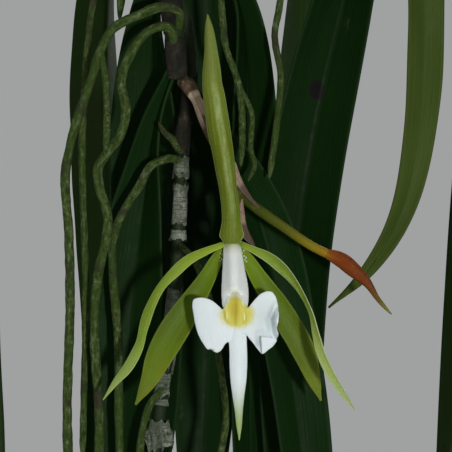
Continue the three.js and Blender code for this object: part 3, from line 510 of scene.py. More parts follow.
def cane_radius(t, radius, joints):
    """Thickness along a cane: a sharp ridge at each joint and a slight belly between two."""
    into = (t * joints) % 1
    from_joint = np.minimum(into, 1 - into)
    ridge = 0.17 * np.exp(-((from_joint / 0.05) ** 2)) - 0.05 * np.exp(-(((from_joint - 0.11) / 0.06) ** 2))
    belly = 0.96 + 0.06 * np.sin(math.pi * into)
    whole = 0.92 + 0.12 * np.sin(math.pi * np.minimum(1, t * 1.1))
    return radius * whole * (belly + ridge) * np.sqrt(np.clip((1 - t) / 0.012, 0.2, 1))


def smooth_cane(name, dark, light, rib):
    """Skin of a cane: patchy green, fine ribs that run its length, and brown stains."""
    cane = Finish(name, Roughness=0.5, Specular_IOR_Level=0.2)
    where = cane.spot()
    round_at, along = (cane.axis(cane.wrap(), letter) for letter in "XY")
    ribs = cane.strands(round_at, along, 34, 5, 3, 0.5)
    tone = cane.cloud(where, 60, 5, 0.6)
    green = cane.blend(cane.band(ribs, 0.45, 0.7, 0, 0.4), cane.blend(tone, dark, light), rib)
    stain = cane.band(cane.cloud(where, 190, 5, 0.7), 0.57, 0.7, 0, 0.7)
    cane.colour(cane.blend(stain, green, CANE_STAIN))
    cane.gloss(cane.band(tone, 0.3, 0.7, 0.4, 0.62))
    cane.surface(cane.relief(ribs, 0.0003, cane.relief(cane.cloud(where, 900, 3), 0.0001)))
    return cane


# The two lowest canes take a darker copy of the cane finish, as painted shade; the other canes take the
# lighter copy.
shaded_cane = smooth_cane("stem", (0.005, 0.013, 0.003), (0.015, 0.03, 0.007), (0.025, 0.04, 0.013))
upper_cane = smooth_cane("upper_stem", (0.02, 0.045, 0.008), (0.05, 0.085, 0.018), (0.08, 0.11, 0.035))
for name, (radius, joints, points) in STEMS.items():
    path = Path(points)
    shares = np.linspace(0, 1, int(path.length * 1.6))
    rings = limb(path, cane_radius(shares, radius, joints), 24, shares)
    cane = shaded_cane if name in LOWER_CANES else upper_cane
    piece("cane_" + name[5:], skin(name, below_rim(rings)), cane, "stem", name)

# The sheaths on the stems
# Each length between two joints is wrapped by the dry base of an old leaf, a tube thin as paper. It is
# whitish and finely striped, splits as the cane fattens, and frays away from its upper end.
SHEATHS = {  # stem: where it starts and ends along the stem, how far it stands off, and how frayed it is
    "stem_a1": [[0.42, 0.585, 0.3, 0.35], [0.62, 0.78, 0.35, 0.6], [0.81, 0.98, 0.4, 0.5]],
    "stem_a2": [[0.27, 0.48, 0.35, 0.5], [0.52, 0.73, 0.3, 0.5], [0.77, 0.98, 0.45, 0.7]],
    "stem_a3": [[0.27, 0.49, 0.4, 0.6], [0.53, 0.74, 0.3, 0.4], [0.78, 0.998, 0.3, 0.06]],
    "stem_b1": [[0.42, 0.585, 0.3, 0.35], [0.62, 0.78, 0.35, 0.6], [0.81, 0.98, 0.4, 0.4]],
    "stem_c1": [[0.42, 0.585, 0.3, 0.35], [0.62, 0.78, 0.4, 0.5], [0.81, 0.98, 0.4, 0.5]],
    "stem_d1": [[0.42, 0.585, 0.35, 0.5], [0.62, 0.78, 0.35, 0.6], [0.81, 0.98, 0.4, 0.4]],
    "stem_e1": [[0.42, 0.585, 0.3, 0.3], [0.62, 0.78, 0.4, 0.6], [0.81, 0.98, 0.4, 0.5]],
    "stem_e2": [[0.42, 0.585, 0.35, 0.5], [0.62, 0.78, 0.3, 0.6], [0.81, 0.98, 0.4, 0.5]],
    "stem_a4": [
        [0.16, 0.324, 0.4, 0.25], [0.318, 0.362, 0.7, 0.25], [0.366, 0.446, 0.1, 0.12],
        [0.452, 0.476, 0.6, 0.8], [0.555, 0.635, 0.45, 0.5], [0.655, 0.716, 0.9, 0.95],
        [0.71, 0.762, 0.3, 0.3], [0.76, 0.772, 0.7, 0.1], [0.795, 0.87, 3.4, 0.9],
    ],
}
SHEATH_THICK = 0.14
SHEATH_OFF = 0.1
SHEATH_SIDES = 36
SHEATH_ROWS = 26
PALE_SHEATH = [
    (0.34, (0.04, 0.048, 0.028)), (0.46, (0.12, 0.14, 0.1)), (0.56, (0.2, 0.23, 0.17)),
    (0.68, (0.32, 0.36, 0.29)),
]
# A darker copy of the sheath tones: painted shade for the sheaths on the two lowest canes.
SHADED_SHEATH = [
    (0.36, (0.004, 0.006, 0.003)), (0.48, (0.01, 0.012, 0.007)), (0.6, (0.028, 0.026, 0.017)),
    (0.72, (0.08, 0.072, 0.052)),
]


def ragged(count, seed, scale):
    """Values between 0 and 1 round a ring, uneven as a torn edge."""
    out = []
    for i in range(count):
        turn = 2 * math.pi * i / count
        spot = Vector((math.cos(turn) * scale, math.sin(turn) * scale, seed))
        out.append(0.5 + 0.9 * noise.noise(spot) + 0.5 * noise.noise(spot * 3.1))
    return np.clip(out, 0, 1)


def sheath(path, radius, joints, start, end, puff, fray, seed):
    """A torn paper tube round a cane, as rings up its outside and back down its inside."""
    torn = end - (end - start) * 0.75 * fray * ragged(SHEATH_SIDES, seed, 1.4)
    foot = start + (end - start) * 0.12 * ragged(SHEATH_SIDES, seed + 9, 2.2)
    last = 399
    across, over = path.frames(np.linspace(0, 1, last + 1))
    angle = np.linspace(0, 2 * math.pi, SHEATH_SIDES, endpoint=False)
    outside, inside = [], []
    for k in range(SHEATH_ROWS):
        share = foot + (torn - foot) * k / (SHEATH_ROWS - 1)
        index = np.clip((share * last).astype(int), 0, last)
        out = np.cos(angle)[:, None] * across[index] + np.sin(angle)[:, None] * over[index]
        crease = np.array([
            noise.noise(Vector((math.cos(a) * 1.6, math.sin(a) * 1.6, seed + k * 0.09))) for a in angle
        ])
        flare = puff * (0.35 + 0.9 * (k / (SHEATH_ROWS - 1)) ** 2) * (0.75 + 0.9 * crease)
        base = cane_radius(share, radius, joints) + SHEATH_OFF + np.maximum(flare, 0)
        middle = path.at(share)
        outside.append(middle + out * (base + SHEATH_THICK)[:, None])
        inside.append(middle + out * base[:, None])
    return np.array(outside + inside[::-1] + outside[:1])


def papery(name, stops, streak, spots):
    """Dry sheath: blotches that run lengthwise, dark fibres, fine cross wrinkles and rusty spots."""
    paper = Finish(name, Roughness=0.85, Specular_IOR_Level=0.2)
    where = paper.spot()
    round_at, along = (paper.axis(paper.wrap(), letter) for letter in "XY")
    fibre = paper.strands(round_at, along, 40, 14)
    wrinkle = paper.cloud(paper.stretch(where, (1, 1, 9)), 210, 3, 0.6)
    dry = paper.shades(paper.cloud(paper.stretch(where, (1, 1, 0.6)), 150, 5, 0.66), stops)
    dry = paper.blend(paper.band(fibre, 0.45, 0.62, 0, 0.5), dry, streak)
    dry = paper.blend(paper.band(wrinkle, 0.5, 0.62, 0, 0.7), dry, streak)
    rust = paper.band(paper.cloud(where, 260, 4, 0.7), 0.56, 0.68, 0, 0.85)
    paper.colour(paper.blend(rust, dry, spots))
    paper.surface(paper.relief(wrinkle, 0.0003, paper.relief(fibre, 0.0003)))
    return paper


pale_paper = papery("pale_sheath", PALE_SHEATH, (0.05, 0.058, 0.04), (0.022, 0.022, 0.014))
shaded_paper = papery("shaded_sheath", SHADED_SHEATH, (0.012, 0.01, 0.007), (0.03, 0.015, 0.008))
for name, sheaths in SHEATHS.items():
    radius, joints, points = STEMS[name]
    path = Path(points)
    skins = []
    for k, (start, end, puff, fray) in enumerate(sheaths):
        rings = sheath(path, radius, joints, start, end, puff, fray, 4.7 * k + points[0][0])
        skins.append(tidied(skin("sheath", below_rim(rings), filled=False), weld=0.00001))
    if name == "stem_a4":  # only its first sheath takes the darker copy, as painted shade
        piece("lower_sheaths_a4", gathered("sheaths", skins[1:]), pale_paper, "bract")
        skins = skins[:1]
    paper = shaded_paper if name in LOWER_CANES else pale_paper
    piece("sheaths_" + name[5:], gathered("sheaths", skins), paper, "bract")

# The leaves
# Thick leathery straps, folded along the keel into a channel, that clasp the end of a cane and hang point
# down. They are very dark green, waxed, finely ribbed along their length, and spotted where they have aged.
LEAF_THICK = 2.4
LEAF_EDGE = 1.0
LEAF_OUTLINE = [0.26, 0.5, 0.82, 0.98, 1, 0.97, 0.9, 0.8, 0.62, 0.38, 0.05]
FRECKLE = (0.02, 0.014, 0.01)
SCAR = (0.05, 0.05, 0.03)
BRUISE = (0.01, 0.006, 0.009)
BRUISE_SPOT = [29.2, -86, -173.3]
BRUISE_REACH = (0.0042, 0.02, 0.0055)
LEAVES = {  # width laid flat, how steeply the halves rise, where the channel looks, and the keel
    "leaf_a3_left": [30, 32, [[-0.3, -1, 0.2], [-0.2, -1, 0]], [
        [-19, -99.5, -168], [-25, -94, -184], [-29, -89, -208], [-34, -87, -255], [-39, -86, -320],
        [-45, -88, -405],
    ]],
    "leaf_a3_right": [25, 36, [[0.3, -1, 0.2], [0.45, -1, 0]], [
        [-17, -97.5, -168], [-9, -91, -184], [2, -88, -202], [10, -88, -222], [17.5, -90, -258],
        [23, -91, -297], [30, -95, -385],
    ]],
    "leaf_a2_left": [30, 30, [[-0.4, -1, 0.2], [-0.3, -1, 0]], [
        [-19, -98.5, -119], [-25, -90, -138], [-27, -79, -165], [-27, -72, -205], [-26, -70, -260],
        [-30, -72, -350],
    ]],
    "leaf_a2_right": [28, 48, [[0.3, -1, 0.2], [0.15, -1, 0]], [
        [-17, -98.5, -119], [-7, -90, -127], [2.5, -76, -146], [5.5, -67, -190], [6, -64, -250],
        [7, -65, -372],
    ]],
    "leaf_a1": [34, 24, [[0, -1, 0.2], [-0.1, -1, 0]], [
        [-22, -93, -45], [-17, -82, -62], [-11, -62, -100], [-8, -52, -150], [-8, -48, -230],
        [-12, -50, -362],
    ]],
    "leaf_b1_front": [30, 34, [[0.1, -1, 0.2], [-0.36, -1, 0]], [
        [50, -90, -59], [52, -94, -85], [46, -88, -115], [37.6, -82, -146], [28, -79, -190],
        [22.5, -76, -232], [21.5, -73, -275], [24, -73, -330], [28, -76, -408],
    ]],
    "leaf_b1_side": [28, 40, [[1, -0.5, 0.2], [1, -0.3, 0]], [
        [50, -89, -59], [61, -86, -72], [76, -78, -106], [84, -68, -160], [84, -62, -220], [80, -60, -318],
    ]],
    "leaf_b1_young": [15, 30, [[0.4, -1, 0.1], [0.1, -1, 0]], [
        [51.5, -93, -58], [58, -101, -74], [62, -102, -110], [64, -98, -160], [61, -94, -200],
        [55, -92, -220], [45, -90, -236], [33, -87, -247.5],
    ]],
    "leaf_a4_left": [23, 40, [[-0.5, -1, 0.2], [-0.4, -1, 0]], [
        [-28.5, -96, -319], [-36, -100, -334], [-45, -104, -365], [-50, -105, -410], [-52, -103, -478],
    ]],
    "leaf_a4_right": [22, 40, [[0.4, -1, 0.2], [0.3, -1, 0]], [
        [-27.5, -96, -319], [-20, -97, -336], [-12, -102, -365], [-9, -103, -410], [-8, -101, -486],
    ]],
    "leaf_c1_front": [28, 40, [[-1, -0.4, 0.2], [-1, -0.3, 0]], [
        [-96, -9.5, -53], [-101, -19, -72], [-99, -29, -112], [-93, -33, -170], [-89, -33, -230],
        [-84, -31, -322],
    ]],
    "leaf_c1_back": [29, 40, [[-1, 0.4, 0.2], [-1, 0.3, 0]], [
        [-96, -6.5, -53], [-101, 3, -74], [-99, 15, -118], [-94, 21, -180], [-91, 23, -250], [-87, 23, -352],
    ]],
    "leaf_d1_front": [29, 40, [[1, -0.3, 0.2], [1, -0.3, 0]], [
        [95, 12.5, -53], [101, 4, -72], [100, -7, -112], [95, -12, -170], [91, -13, -240], [86, -12, -334],
    ]],
    "leaf_d1_back": [28, 40, [[1, 0.5, 0.2], [1, 0.4, 0]], [
        [95, 15.5, -53], [100, 27, -74], [97, 39, -116], [91, 45, -176], [86, 47, -245], [81, 46, -346],
    ]],
    "leaf_e1_side": [30, 40, [[-0.6, 1, 0.2], [-0.4, 1, 0]], [
        [-35, 94, -55], [-44, 98, -74], [-52, 96, -120], [-52, 88, -185], [-49, 82, -262], [-45, 80, -372],
    ]],
    "leaf_e1_middle": [29, 40, [[0.3, 1, 0.2], [0.2, 1, 0]], [
        [-33, 94, -55], [-24, 98, -74], [-16, 95, -120], [-12, 87, -190], [-11, 82, -270], [-12, 80, -388],
    ]],
    "leaf_e2": [30, 40, [[0.2, 1, 0.2], [0.1, 1, 0]], [
        [31, 92, -49], [33, 99, -72], [31, 96, -122], [28, 88, -190], [26, 82, -268], [25, 80, -380],
    ]],
}


def blade(path, face, half, lift, bow, thick, edge, steps, across, twist=(0, 0), ripple=0.0, seed=0.0):
    """Rings round a thin blade, and how far round each of their points counts, for its weave of veins.

    face is where the inner side looks, from base to tip, half is half the width, lift is how steeply the
    halves rise to the inner side, and bow is how far the fold is a curve and not a crease.
    """
    shares = np.linspace(0, 1, steps + 1)
    even = np.linspace(-1, 1, across)
    places = 1.5 * even - 0.5 * even**3
    middles, ways = path.at(shares), path.way(shares)
    halves = spline(half, shares)
    lifts, twists = (np.radians(spline(angles, shares)) for angles in (lift, twist))
    looks = np.array(face, dtype=float)
    looks /= np.linalg.norm(looks, axis=1, keepdims=True)
    rings = []
    for t, middle, way, h, rise, turn in zip(shares, middles, ways, halves, lifts, twists):
        inner = looks[0] + (looks[-1] - looks[0]) * t
        inner = inner - way * inner.dot(way)
        inner /= np.linalg.norm(inner)
        inner = inner * math.cos(turn) + np.cross(way, inner) * math.sin(turn)
        side = np.cross(way, inner)
        front, back = [], []
        for s in places:
            fold = abs(s) + (s * s - abs(s)) * bow
            lean = (np.sign(s) + (2 * s - np.sign(s)) * bow) * math.sin(rise)
            out = inner * math.cos(rise) - side * lean
            out /= np.linalg.norm(out)
            body = (thick + (edge - thick) * abs(s)) * min(1, 0.35 + h / 3) / 2
            inset = min(1, (1 - abs(s)) * h / (edge / 2))
            body *= max(0.2, math.sqrt(1 - (1 - inset) ** 2))
            spot = middle + side * s * h * math.cos(rise) + inner * fold * h * math.sin(rise)
            if ripple:
                wave = noise.noise(Vector((seed, s * 0.9, t * path.length / 26)))
                spot = spot + inner * ripple * wave * (0.25 + abs(s)) * min(1, 4 * t)
            front.append(spot + out * body)
            back.append(spot - out * body)
        rings.append(front + back[::-1])
    share = (places + 1) / 4
    return np.array(rings), np.concatenate([share, 1 - share[::-1], [1]])


def across_blade(finish):
    """From -1 at one margin to 1 at the other, and 0 on the inner side to 1 on the outer side."""
    round_at = finish.axis(finish.wrap(), "X")
    off = finish.sum("ABSOLUTE", finish.sum("SUBTRACT", finish.sum("MULTIPLY", round_at, 4), 2))
    return finish.sum("SUBTRACT", 1, off), finish.sum("GREATER_THAN", round_at, 0.5)


def leathery(name, dark, light, vein, under, edge):
    """Skin of a leaf: patchy green, paler veins and under side, a fine rim, freckles, scars, a bruise."""
    leaf = Finish(name, Roughness=0.5, Specular_IOR_Level=0.05)
    where = leaf.spot()
    across, outer = across_blade(leaf)
    along = leaf.axis(leaf.wrap(), "Y")
    veins = leaf.strands(across, along, 16, 2.5)
    fine = leaf.strands(across, along, 70, 6, 2, 0.5)
    tone = leaf.cloud(leaf.stretch(where, (1, 1, 0.4)), 42, 5, 0.6)
    green = leaf.blend(tone, dark, light)
    green = leaf.blend(leaf.band(veins, 0.4, 0.66, 0, 0.24), green, vein)
    green = leaf.blend(leaf.band(fine, 0.5, 0.7, 0, 0.12), green, vein)
    under = leaf.blend(leaf.band(tone, 0.4, 0.65), *under)
    green = leaf.blend(leaf.sum("MULTIPLY", outer, 0.65), green, under)
    rim = leaf.band(leaf.sum("ABSOLUTE", across), 0.93, 1.0, 0, 0.15)
    green = leaf.blend(rim, green, edge)
    keel = leaf.band(leaf.sum("ABSOLUTE", across), 0.0, 0.09, 0.45, 0.0)
    green = leaf.blend(keel, green, dark)
    freckles = leaf.band(leaf.cells(where, 210), 0.1, 0.2, 1, 0)
    freckles = leaf.sum("MULTIPLY", freckles, leaf.band(leaf.cloud(where, 55, 3), 0.56, 0.64))
    green = leaf.blend(leaf.sum("MULTIPLY", freckles, 0.4), green, FRECKLE)
    scars = leaf.band(leaf.cloud(leaf.stretch(where, (1, 1, 0.5)), 120, 4, 0.7), 0.67, 0.75, 0, 0.5)
    green = leaf.blend(scars, green, SCAR)
    spot = tuple(below_rim(np.array(BRUISE_SPOT)).tolist())
    bruise = leaf.near(where, spot, BRUISE_REACH)
    leaf.colour(leaf.blend(leaf.band(bruise, 0.1, 0.45, 0, 0.9), green, BRUISE))
    dust = leaf.cloud(where, 260, 5, 0.65)
    leaf.gloss(leaf.band(dust, 0.3, 0.75, 0.38, 0.6))
    leaf.surface(leaf.relief(veins, 0.00015, leaf.relief(fine, 0.00004)))
    return leaf


# The leaves in front of the flower are painted darker than their real green, as painted shade, and
# leaf_b1_front darker still; the leaves at the sides and back take the lighter lit copy.
shaded_leaf = leathery(
    "leaf", (0.003, 0.013, 0.0025), (0.008, 0.03, 0.005), (0.011, 0.036, 0.008),
    [(0.014, 0.037, 0.008), (0.02, 0.032, 0.011)], (0.016, 0.036, 0.01),
)
deep_shaded_leaf = leathery(
    "deep_shaded_leaf", (0.0025, 0.0105, 0.002), (0.006, 0.024, 0.0035), (0.008, 0.028, 0.005),
    [(0.01, 0.029, 0.005), (0.015, 0.026, 0.007)], (0.012, 0.03, 0.007),
)
lit_leaf = leathery(
    "lit_leaf", (0.008, 0.028, 0.005), (0.02, 0.06, 0.01), (0.028, 0.075, 0.016),
    [(0.03, 0.07, 0.014), (0.04, 0.06, 0.02)], (0.035, 0.07, 0.02),
)
young_leaf = leathery(
    "young_leaf", (0.03, 0.055, 0.008), (0.06, 0.09, 0.016), (0.08, 0.11, 0.024),
    [(0.03, 0.06, 0.008), (0.05, 0.06, 0.012)], (0.09, 0.035, 0.012),
)
LEAF_FINISHES = {"leaf_b1_young": young_leaf, "leaf_b1_front": deep_shaded_leaf, "leaf_b1_side": lit_leaf}
for k, (name, (width, lift, face, points)) in enumerate(LEAVES.items()):
    folds = [66, lift + 12, lift, lift, lift, lift + 4]  # nearly shut where it clasps the cane
    rings, round_at = blade(
        Path(points), face, np.array(LEAF_OUTLINE) * width / 2, folds, 0.25, LEAF_THICK, LEAF_EDGE, 110, 21,
        ripple=1.3, seed=11.3 * k,
    )
    finish = LEAF_FINISHES.get(name, lit_leaf if name[5] in "cde" else shaded_leaf)
    piece(name[5:] + "_leaf", skin(name, below_rim(rings), round_at=round_at), finish, "leaf", name)

# The roots
# They leave the joints of the canes and hang in the air, thick as a shoelace, wrapped in a spongy skin that
# is grey-green, knobbly and mottled, and end in a bright green growing tip.
ROOTS = {  # half width, then the middle line of the root and of each branch
    "root_loop_outer": [1.55, [[
        [-18, -103, -154], [-17.5, -107, -149], [-23, -110, -147.5], [-32, -113, -151], [-39, -114, -155],
        [-43, -114, -162], [-47, -113, -174], [-52, -112, -188], [-55, -111, -204], [-54, -110, -220],
        [-53.5, -109, -245], [-54.5, -108, -280], [-53, -107, -340],
    ], [[-43, -114, -163], [-41.5, -114.5, -172], [-41, -115, -184], [-41.5, -115.5, -197]]]],
    "root_loop_inner": [1.6, [[
        [-19, -103, -159], [-21, -106.5, -154], [-27, -108, -155], [-33, -109, -162], [-36.5, -109.5, -172],
        [-35, -110, -182], [-37, -110, -190], [-44, -109, -200], [-44, -108.5, -206], [-41, -109, -218],
        [-44.5, -109, -238], [-45.5, -108, -256], [-44, -107, -282], [-45, -105, -330],
    ]]],
    "root_joint_long": [1.45, [[
        [-16.5, -96, -198], [-21.5, -102, -197.5], [-27, -104, -200], [-31, -105, -207], [-36, -105, -215],
        [-39.5, -104, -224], [-39.5, -103, -238], [-38, -103, -256], [-37.5, -103, -290], [-36, -104, -318],
    ]]],
    "root_joint_stub": [1.25, [[
        [-16.8, -97, -195], [-18.4, -101.5, -193.4], [-20, -103, -190.8], [-22.2, -103.8, -189],
        [-24.4, -104.2, -185.4],
    ]]],
    "root_low_left": [1.2, [[
        [-23, -100.5, -88], [-31, -104, -94], [-39, -104, -112], [-47, -102, -150], [-50, -100, -190],
        [-49, -99, -240], [-50, -99, -298],
    ]]],
    "root_centre": [1.15, [[
        [-21, -101, -98], [-13, -106, -103], [-6, -107, -122], [-3.5, -106, -146], [-2, -105, -160],
        [2.5, -104.5, -174], [3.5, -104.5, -190], [3, -104.5, -200],
    ], [[2, -104.6, -173], [6.5, -105, -182], [6.3, -105.5, -194], [7.5, -106, -200], [5.4, -106.5, -205]]]],
    "root_behind_lip": [1.2, [[
        [-17.5, -98, -226], [-12, -104, -232], [-7, -107, -246], [-4.5, -107, -262], [-3, -107, -272],
        [-2, -107, -284], [-4, -107, -297], [-8, -106, -318],
    ]]],
    "root_gap_right": [1.15, [[
        [43, -82, -8], [38, -93, -18], [30, -97, -60], [22, -98, -110], [16, -96, -146], [14.5, -95, -156],
        [16.5, -95, -170], [15, -98, -186], [12.5, -101, -204],
    ]]],
    "root_a1_long": [1.4, [[
        [-20, -84, -4], [-29, -95, -10], [-35, -100, -40], [-38, -100, -84], [-36, -94, -122],
        [-38, -90, -150],
    ]]],
    "root_a4_tip": [1.3, [[
        [-23, -98, -274], [-28, -103, -281], [-31, -106, -300], [-30, -107, -326], [-32, -112, -352],
        [-33, -113, -392],
    ]]],
    "root_left": [1.4, [[
        [-88, -8, -10], [-98, -4, -22], [-106, -5, -56], [-108, -7, -110], [-105, -7, -160], [-103, -6, -214],
    ]]],
    "root_right": [1.4, [[
        [88, 13, -10], [97, 16, -24], [106, 17, -58], [109, 17, -112], [106, 18, -170], [104, 17, -228],
    ]]],
    "root_back": [1.4, [[
        [30, 86, -10], [24, 96, -22], [12, 103, -60], [8, 104, -112], [8, 98, -170], [9, 96, -240],
    ]]],
}
ROOT_SIDES = 14
BRANCH_SHARE = 0.78  # how thick a branch is beside its root
ROOT_SHADES = [
    (0.36, (0.006, 0.015, 0.003)), (0.47, (0.03, 0.055, 0.008)), (0.55, (0.07, 0.105, 0.025)),
    (0.64, (0.18, 0.21, 0.15)), (0.74, (0.27, 0.31, 0.26)),
]
DAMP_ROOT = (0.026, 0.058, 0.005)
BROWN_ROOT = (0.028, 0.026, 0.014)
GROWING_TIP = (0.06, 0.1, 0.025)


def root_skin(points, radius, seed):
    """A round root with knobs and pimples, drawn in to a blunt point."""
    path = Path(points)
    steps = int(path.length * 1.7)
    shares = np.linspace(0, 1, steps + 1)
    radii = np.empty((steps + 1, ROOT_SIDES))
    for k, t in enumerate(shares):
        run = t * path.length
        thick = 1 + 0.14 * noise.noise(Vector((seed, run / 11, 0)))
        for i in range(ROOT_SIDES):
            turn = 2 * math.pi * i / ROOT_SIDES
            x, y = math.cos(turn), math.sin(turn)
            knob = noise.noise(Vector((x * 1.3, y * 1.3, seed + run / 4.5)))
            pimple = noise.noise(Vector((x * 2.2, y * 2.2, seed - run / 1.9)))
            radii[k, i] = radius * (thick + 0.12 * knob + 0.07 * pimple)
        radii[k] *= max(0.1, min(1, (1 - t) * path.length / (5 * radius)) ** 0.4)
    return skin("root", below_rim(limb(path, radii, ROOT_SIDES, shares)))


spongy = Finish("root", Roughness=0.8, Specular_IOR_Level=0.2)
where = spongy.spot()
round_at, along = (spongy.axis(spongy.wrap(), letter) for letter in "XY")
streak = spongy.strands(round_at, along, 8, 42, 5, 0.7)
speckle = spongy.cloud(where, 700, 5, 0.75)
mottle = spongy.sum("ADD", spongy.sum("MULTIPLY", streak, 0.6), spongy.sum("MULTIPLY", speckle, 0.4))
broad = spongy.cloud(where, 60, 4, 0.6)
grey = spongy.shades(mottle, ROOT_SHADES)
grey = spongy.blend(spongy.band(broad, 0.42, 0.6, 0, 0.55), grey, DAMP_ROOT)
brown = spongy.band(spongy.cloud(where, 75, 5, 0.7), 0.54, 0.64, 0, 0.8)
grey = spongy.blend(brown, grey, BROWN_ROOT)
tip = spongy.band(along, 0.965, 0.99)
spongy.colour(spongy.blend(tip, grey, GROWING_TIP))
spongy.gloss(spongy.band(tip, 0, 1, 0.82, 0.4))
spongy.surface(spongy.relief(mottle, 0.0008, spongy.relief(spongy.cloud(where, 1500, 3), 0.00015)))
for k, (name, (radius, lines)) in enumerate(ROOTS.items()):
    thick = [radius] + [radius * BRANCH_SHARE] * (len(lines) - 1)
    skins = [root_skin(line, thick[i], 5.1 * k + i) for i, line in enumerate(lines)]
    piece("aerial_" + name, gathered(name, skins), spongy, "root", name)

# The flower stalk and its bracts
# A short stiff stalk leaves the tip of the cane, red-brown where it breaks out and pale green above. Dry
# bracts, thin as onion skin and pinkish tan, are wrapped round it below the flower and below the bud.
FLOWER = np.array([0, -128, -225])
STALK = [
    [-17, 27.3, 54.3], [-14.5, 25.5, 51.9], [-12.6, 23.5, 48.8], [-11, 21.8, 45.4], [-9.3, 20.2, 41],
    [-6.5, 18, 34], [-2.6, 16, 26], [2.2, 14.4, 18],
]
STALK_R = [2.2, 2.6, 2.3, 1.75, 1.85, 1.95, 1.9, 1.75, 1.5, 1.45, 1.45, 1.5, 1.6, 1.7]
STALK_TONES = [
    (0.0, (0.008, 0.009, 0.005)), (0.06, (0.03, 0.02, 0.012)), (0.14, (0.12, 0.08, 0.045)),
    (0.2, (0.65, 0.53, 0.36)), (0.4, (0.6, 0.46, 0.32)), (0.5, (0.1, 0.06, 0.03)), (0.56, (0.08, 0.09, 0.02)),
]
STALK_FIBRE = (0.07, 0.045, 0.03)
STALK_SPECK = (0.3, 0.21, 0.13)
STALK_RING = (0.06, 0.015, 0.007)
BRACT_THICK = 0.35
BRACT_EDGE = 0.25
BRACT_DARK = (0.34, 0.22, 0.15)
BRACT_LIGHT = (0.6, 0.42, 0.31)
BRACT_FIBRE = (0.09, 0.06, 0.04)
BRACT_WITHERED = (0.05, 0.032, 0.02)
BRACT_RIM = (0.36, 0.27, 0.22)
BRACTS = {  # middle line, half widths, how the halves rise, and where the hollow side looks
    "bract_stalk": [
        [[-12.2, 20.7, 47.8], [-10.9, 19.4, 45.2], [-9.2, 18, 41], [-6.9, 16, 35]],
        [1.9, 2.4, 2.2, 1.5, 0.4], [52, 50, 44, 34], [[0.5, 1, 0.2], [0.4, 1, 0.2]],
    ],
    "bract_bud": [
        [[0.9, 12.6, 26], [2.6, 12, 21], [4.7, 10.8, 17], [6.8, 9.8, 13.8], [8.9, 9.2, 11]],
        [1.7, 2.0, 1.6, 0.9, 0.3], [40, 46, 44, 30], [[-0.6, 0.8, -0.8], [-0.6, 0.8, -0.8]],
    ],
    "bract_flower": [
        [[3.5, 11.3, 14], [3.8, 10.3, 9.5], [4.4, 9, 5.2], [5.6, 8, 1.9], [7.4, 7, -1.6]],
        [0.5, 1.9, 2.6, 2.0, 0.4], [46, 46, 40, 30], [[-0.8, 0.8, 0.1], [-0.8, 0.8, 0.1]],
    ],
}


def at_flower(rings):
    """Points in millimetres from the middle of the flower, set where it hangs."""
    return below_rim(rings + FLOWER)


def stalk_skin(name, points, radii, sides=24, grooves=0, depth=0.0, per_mm=3):
    """A round stalk or bud. Grooves run along it where its parts meet."""
    path = Path(points)
    shares = np.linspace(0, 1, int(path.length * per_mm))
    angle = np.linspace(0, 2 * math.pi, sides, endpoint=False)
    rounded = np.sqrt(np.clip(1 - (2 * np.abs(shares - 0.5)) ** (2.5 * path.length), 0.1, 1))
    crease = 1 - depth * np.abs(np.cos(grooves * angle / 2)) ** 6
    thick = (spline(radii, shares) * rounded)[:, None] * crease[None, :]
    return skin(name, at_flower(limb(path, thick, sides, shares)))


woody = Finish("flower_stalk", Roughness=0.65, Specular_IOR_Level=0.2)
where = woody.spot()
round_at, along = (woody.axis(woody.wrap(), letter) for letter in "XY")
grain = woody.strands(round_at, along, 22, 4)
stalk_tone = woody.shades(along, STALK_TONES)
stalk_tone = woody.blend(woody.band(grain, 0.45, 0.64, 0, 0.4), stalk_tone, STALK_FIBRE)
speck = woody.cloud(where, 700, 4, 0.7)
stalk_tone = woody.blend(woody.band(speck, 0.5, 0.66, 0, 0.5), stalk_tone, STALK_SPECK)
ring = woody.sum("MULTIPLY", woody.band(along, 0.135, 0.15), woody.band(along, 0.185, 0.17))
woody.colour(woody.blend(woody.sum("MULTIPLY", ring, 0.8), stalk_tone, STALK_RING))
woody.surface(woody.relief(speck, 0.0003, woody.relief(grain, 0.0003)))
piece("flower_stalk", stalk_skin("flower_stalk", STALK, STALK_R), woody, "bract", "flower_stalk")

onion_skin = Finish("bract", Roughness=0.8, Specular_IOR_Level=0.3)
where = onion_skin.spot()
across = across_blade(onion_skin)[0]
along = onion_skin.axis(onion_skin.wrap(), "Y")
fibre = onion_skin.strands(across, along, 9, 2, 3)
tan = onion_skin.blend(onion_skin.cloud(where, 300, 4, 0.6), BRACT_DARK, BRACT_LIGHT)
tan = onion_skin.blend(onion_skin.band(fibre, 0.42, 0.6, 0, 0.6), tan, BRACT_FIBRE)
rim = onion_skin.band(onion_skin.sum("ABSOLUTE", across), 0.8, 1, 0, 0.5)
uneven = onion_skin.sum("ADD", along, onion_skin.cloud(where, 160, 4, 0.6))
tan = onion_skin.blend(onion_skin.band(uneven, 0.85, 1.1, 0, 0.8), tan, BRACT_WITHERED)
onion_skin.colour(onion_skin.blend(rim, tan, BRACT_RIM))
onion_skin.surface(onion_skin.relief(fibre, 0.0003))
for k, (name, (points, half, lift, face)) in enumerate(BRACTS.items()):
    rings, round_at = blade(
        Path(points), face, half, lift, 0.8, BRACT_THICK, BRACT_EDGE, 60, 17, ripple=0.5, seed=40.0 + k,
    )
    piece("dry_" + name, skin(name, at_flower(rings), round_at=round_at), onion_skin, "bract", name)

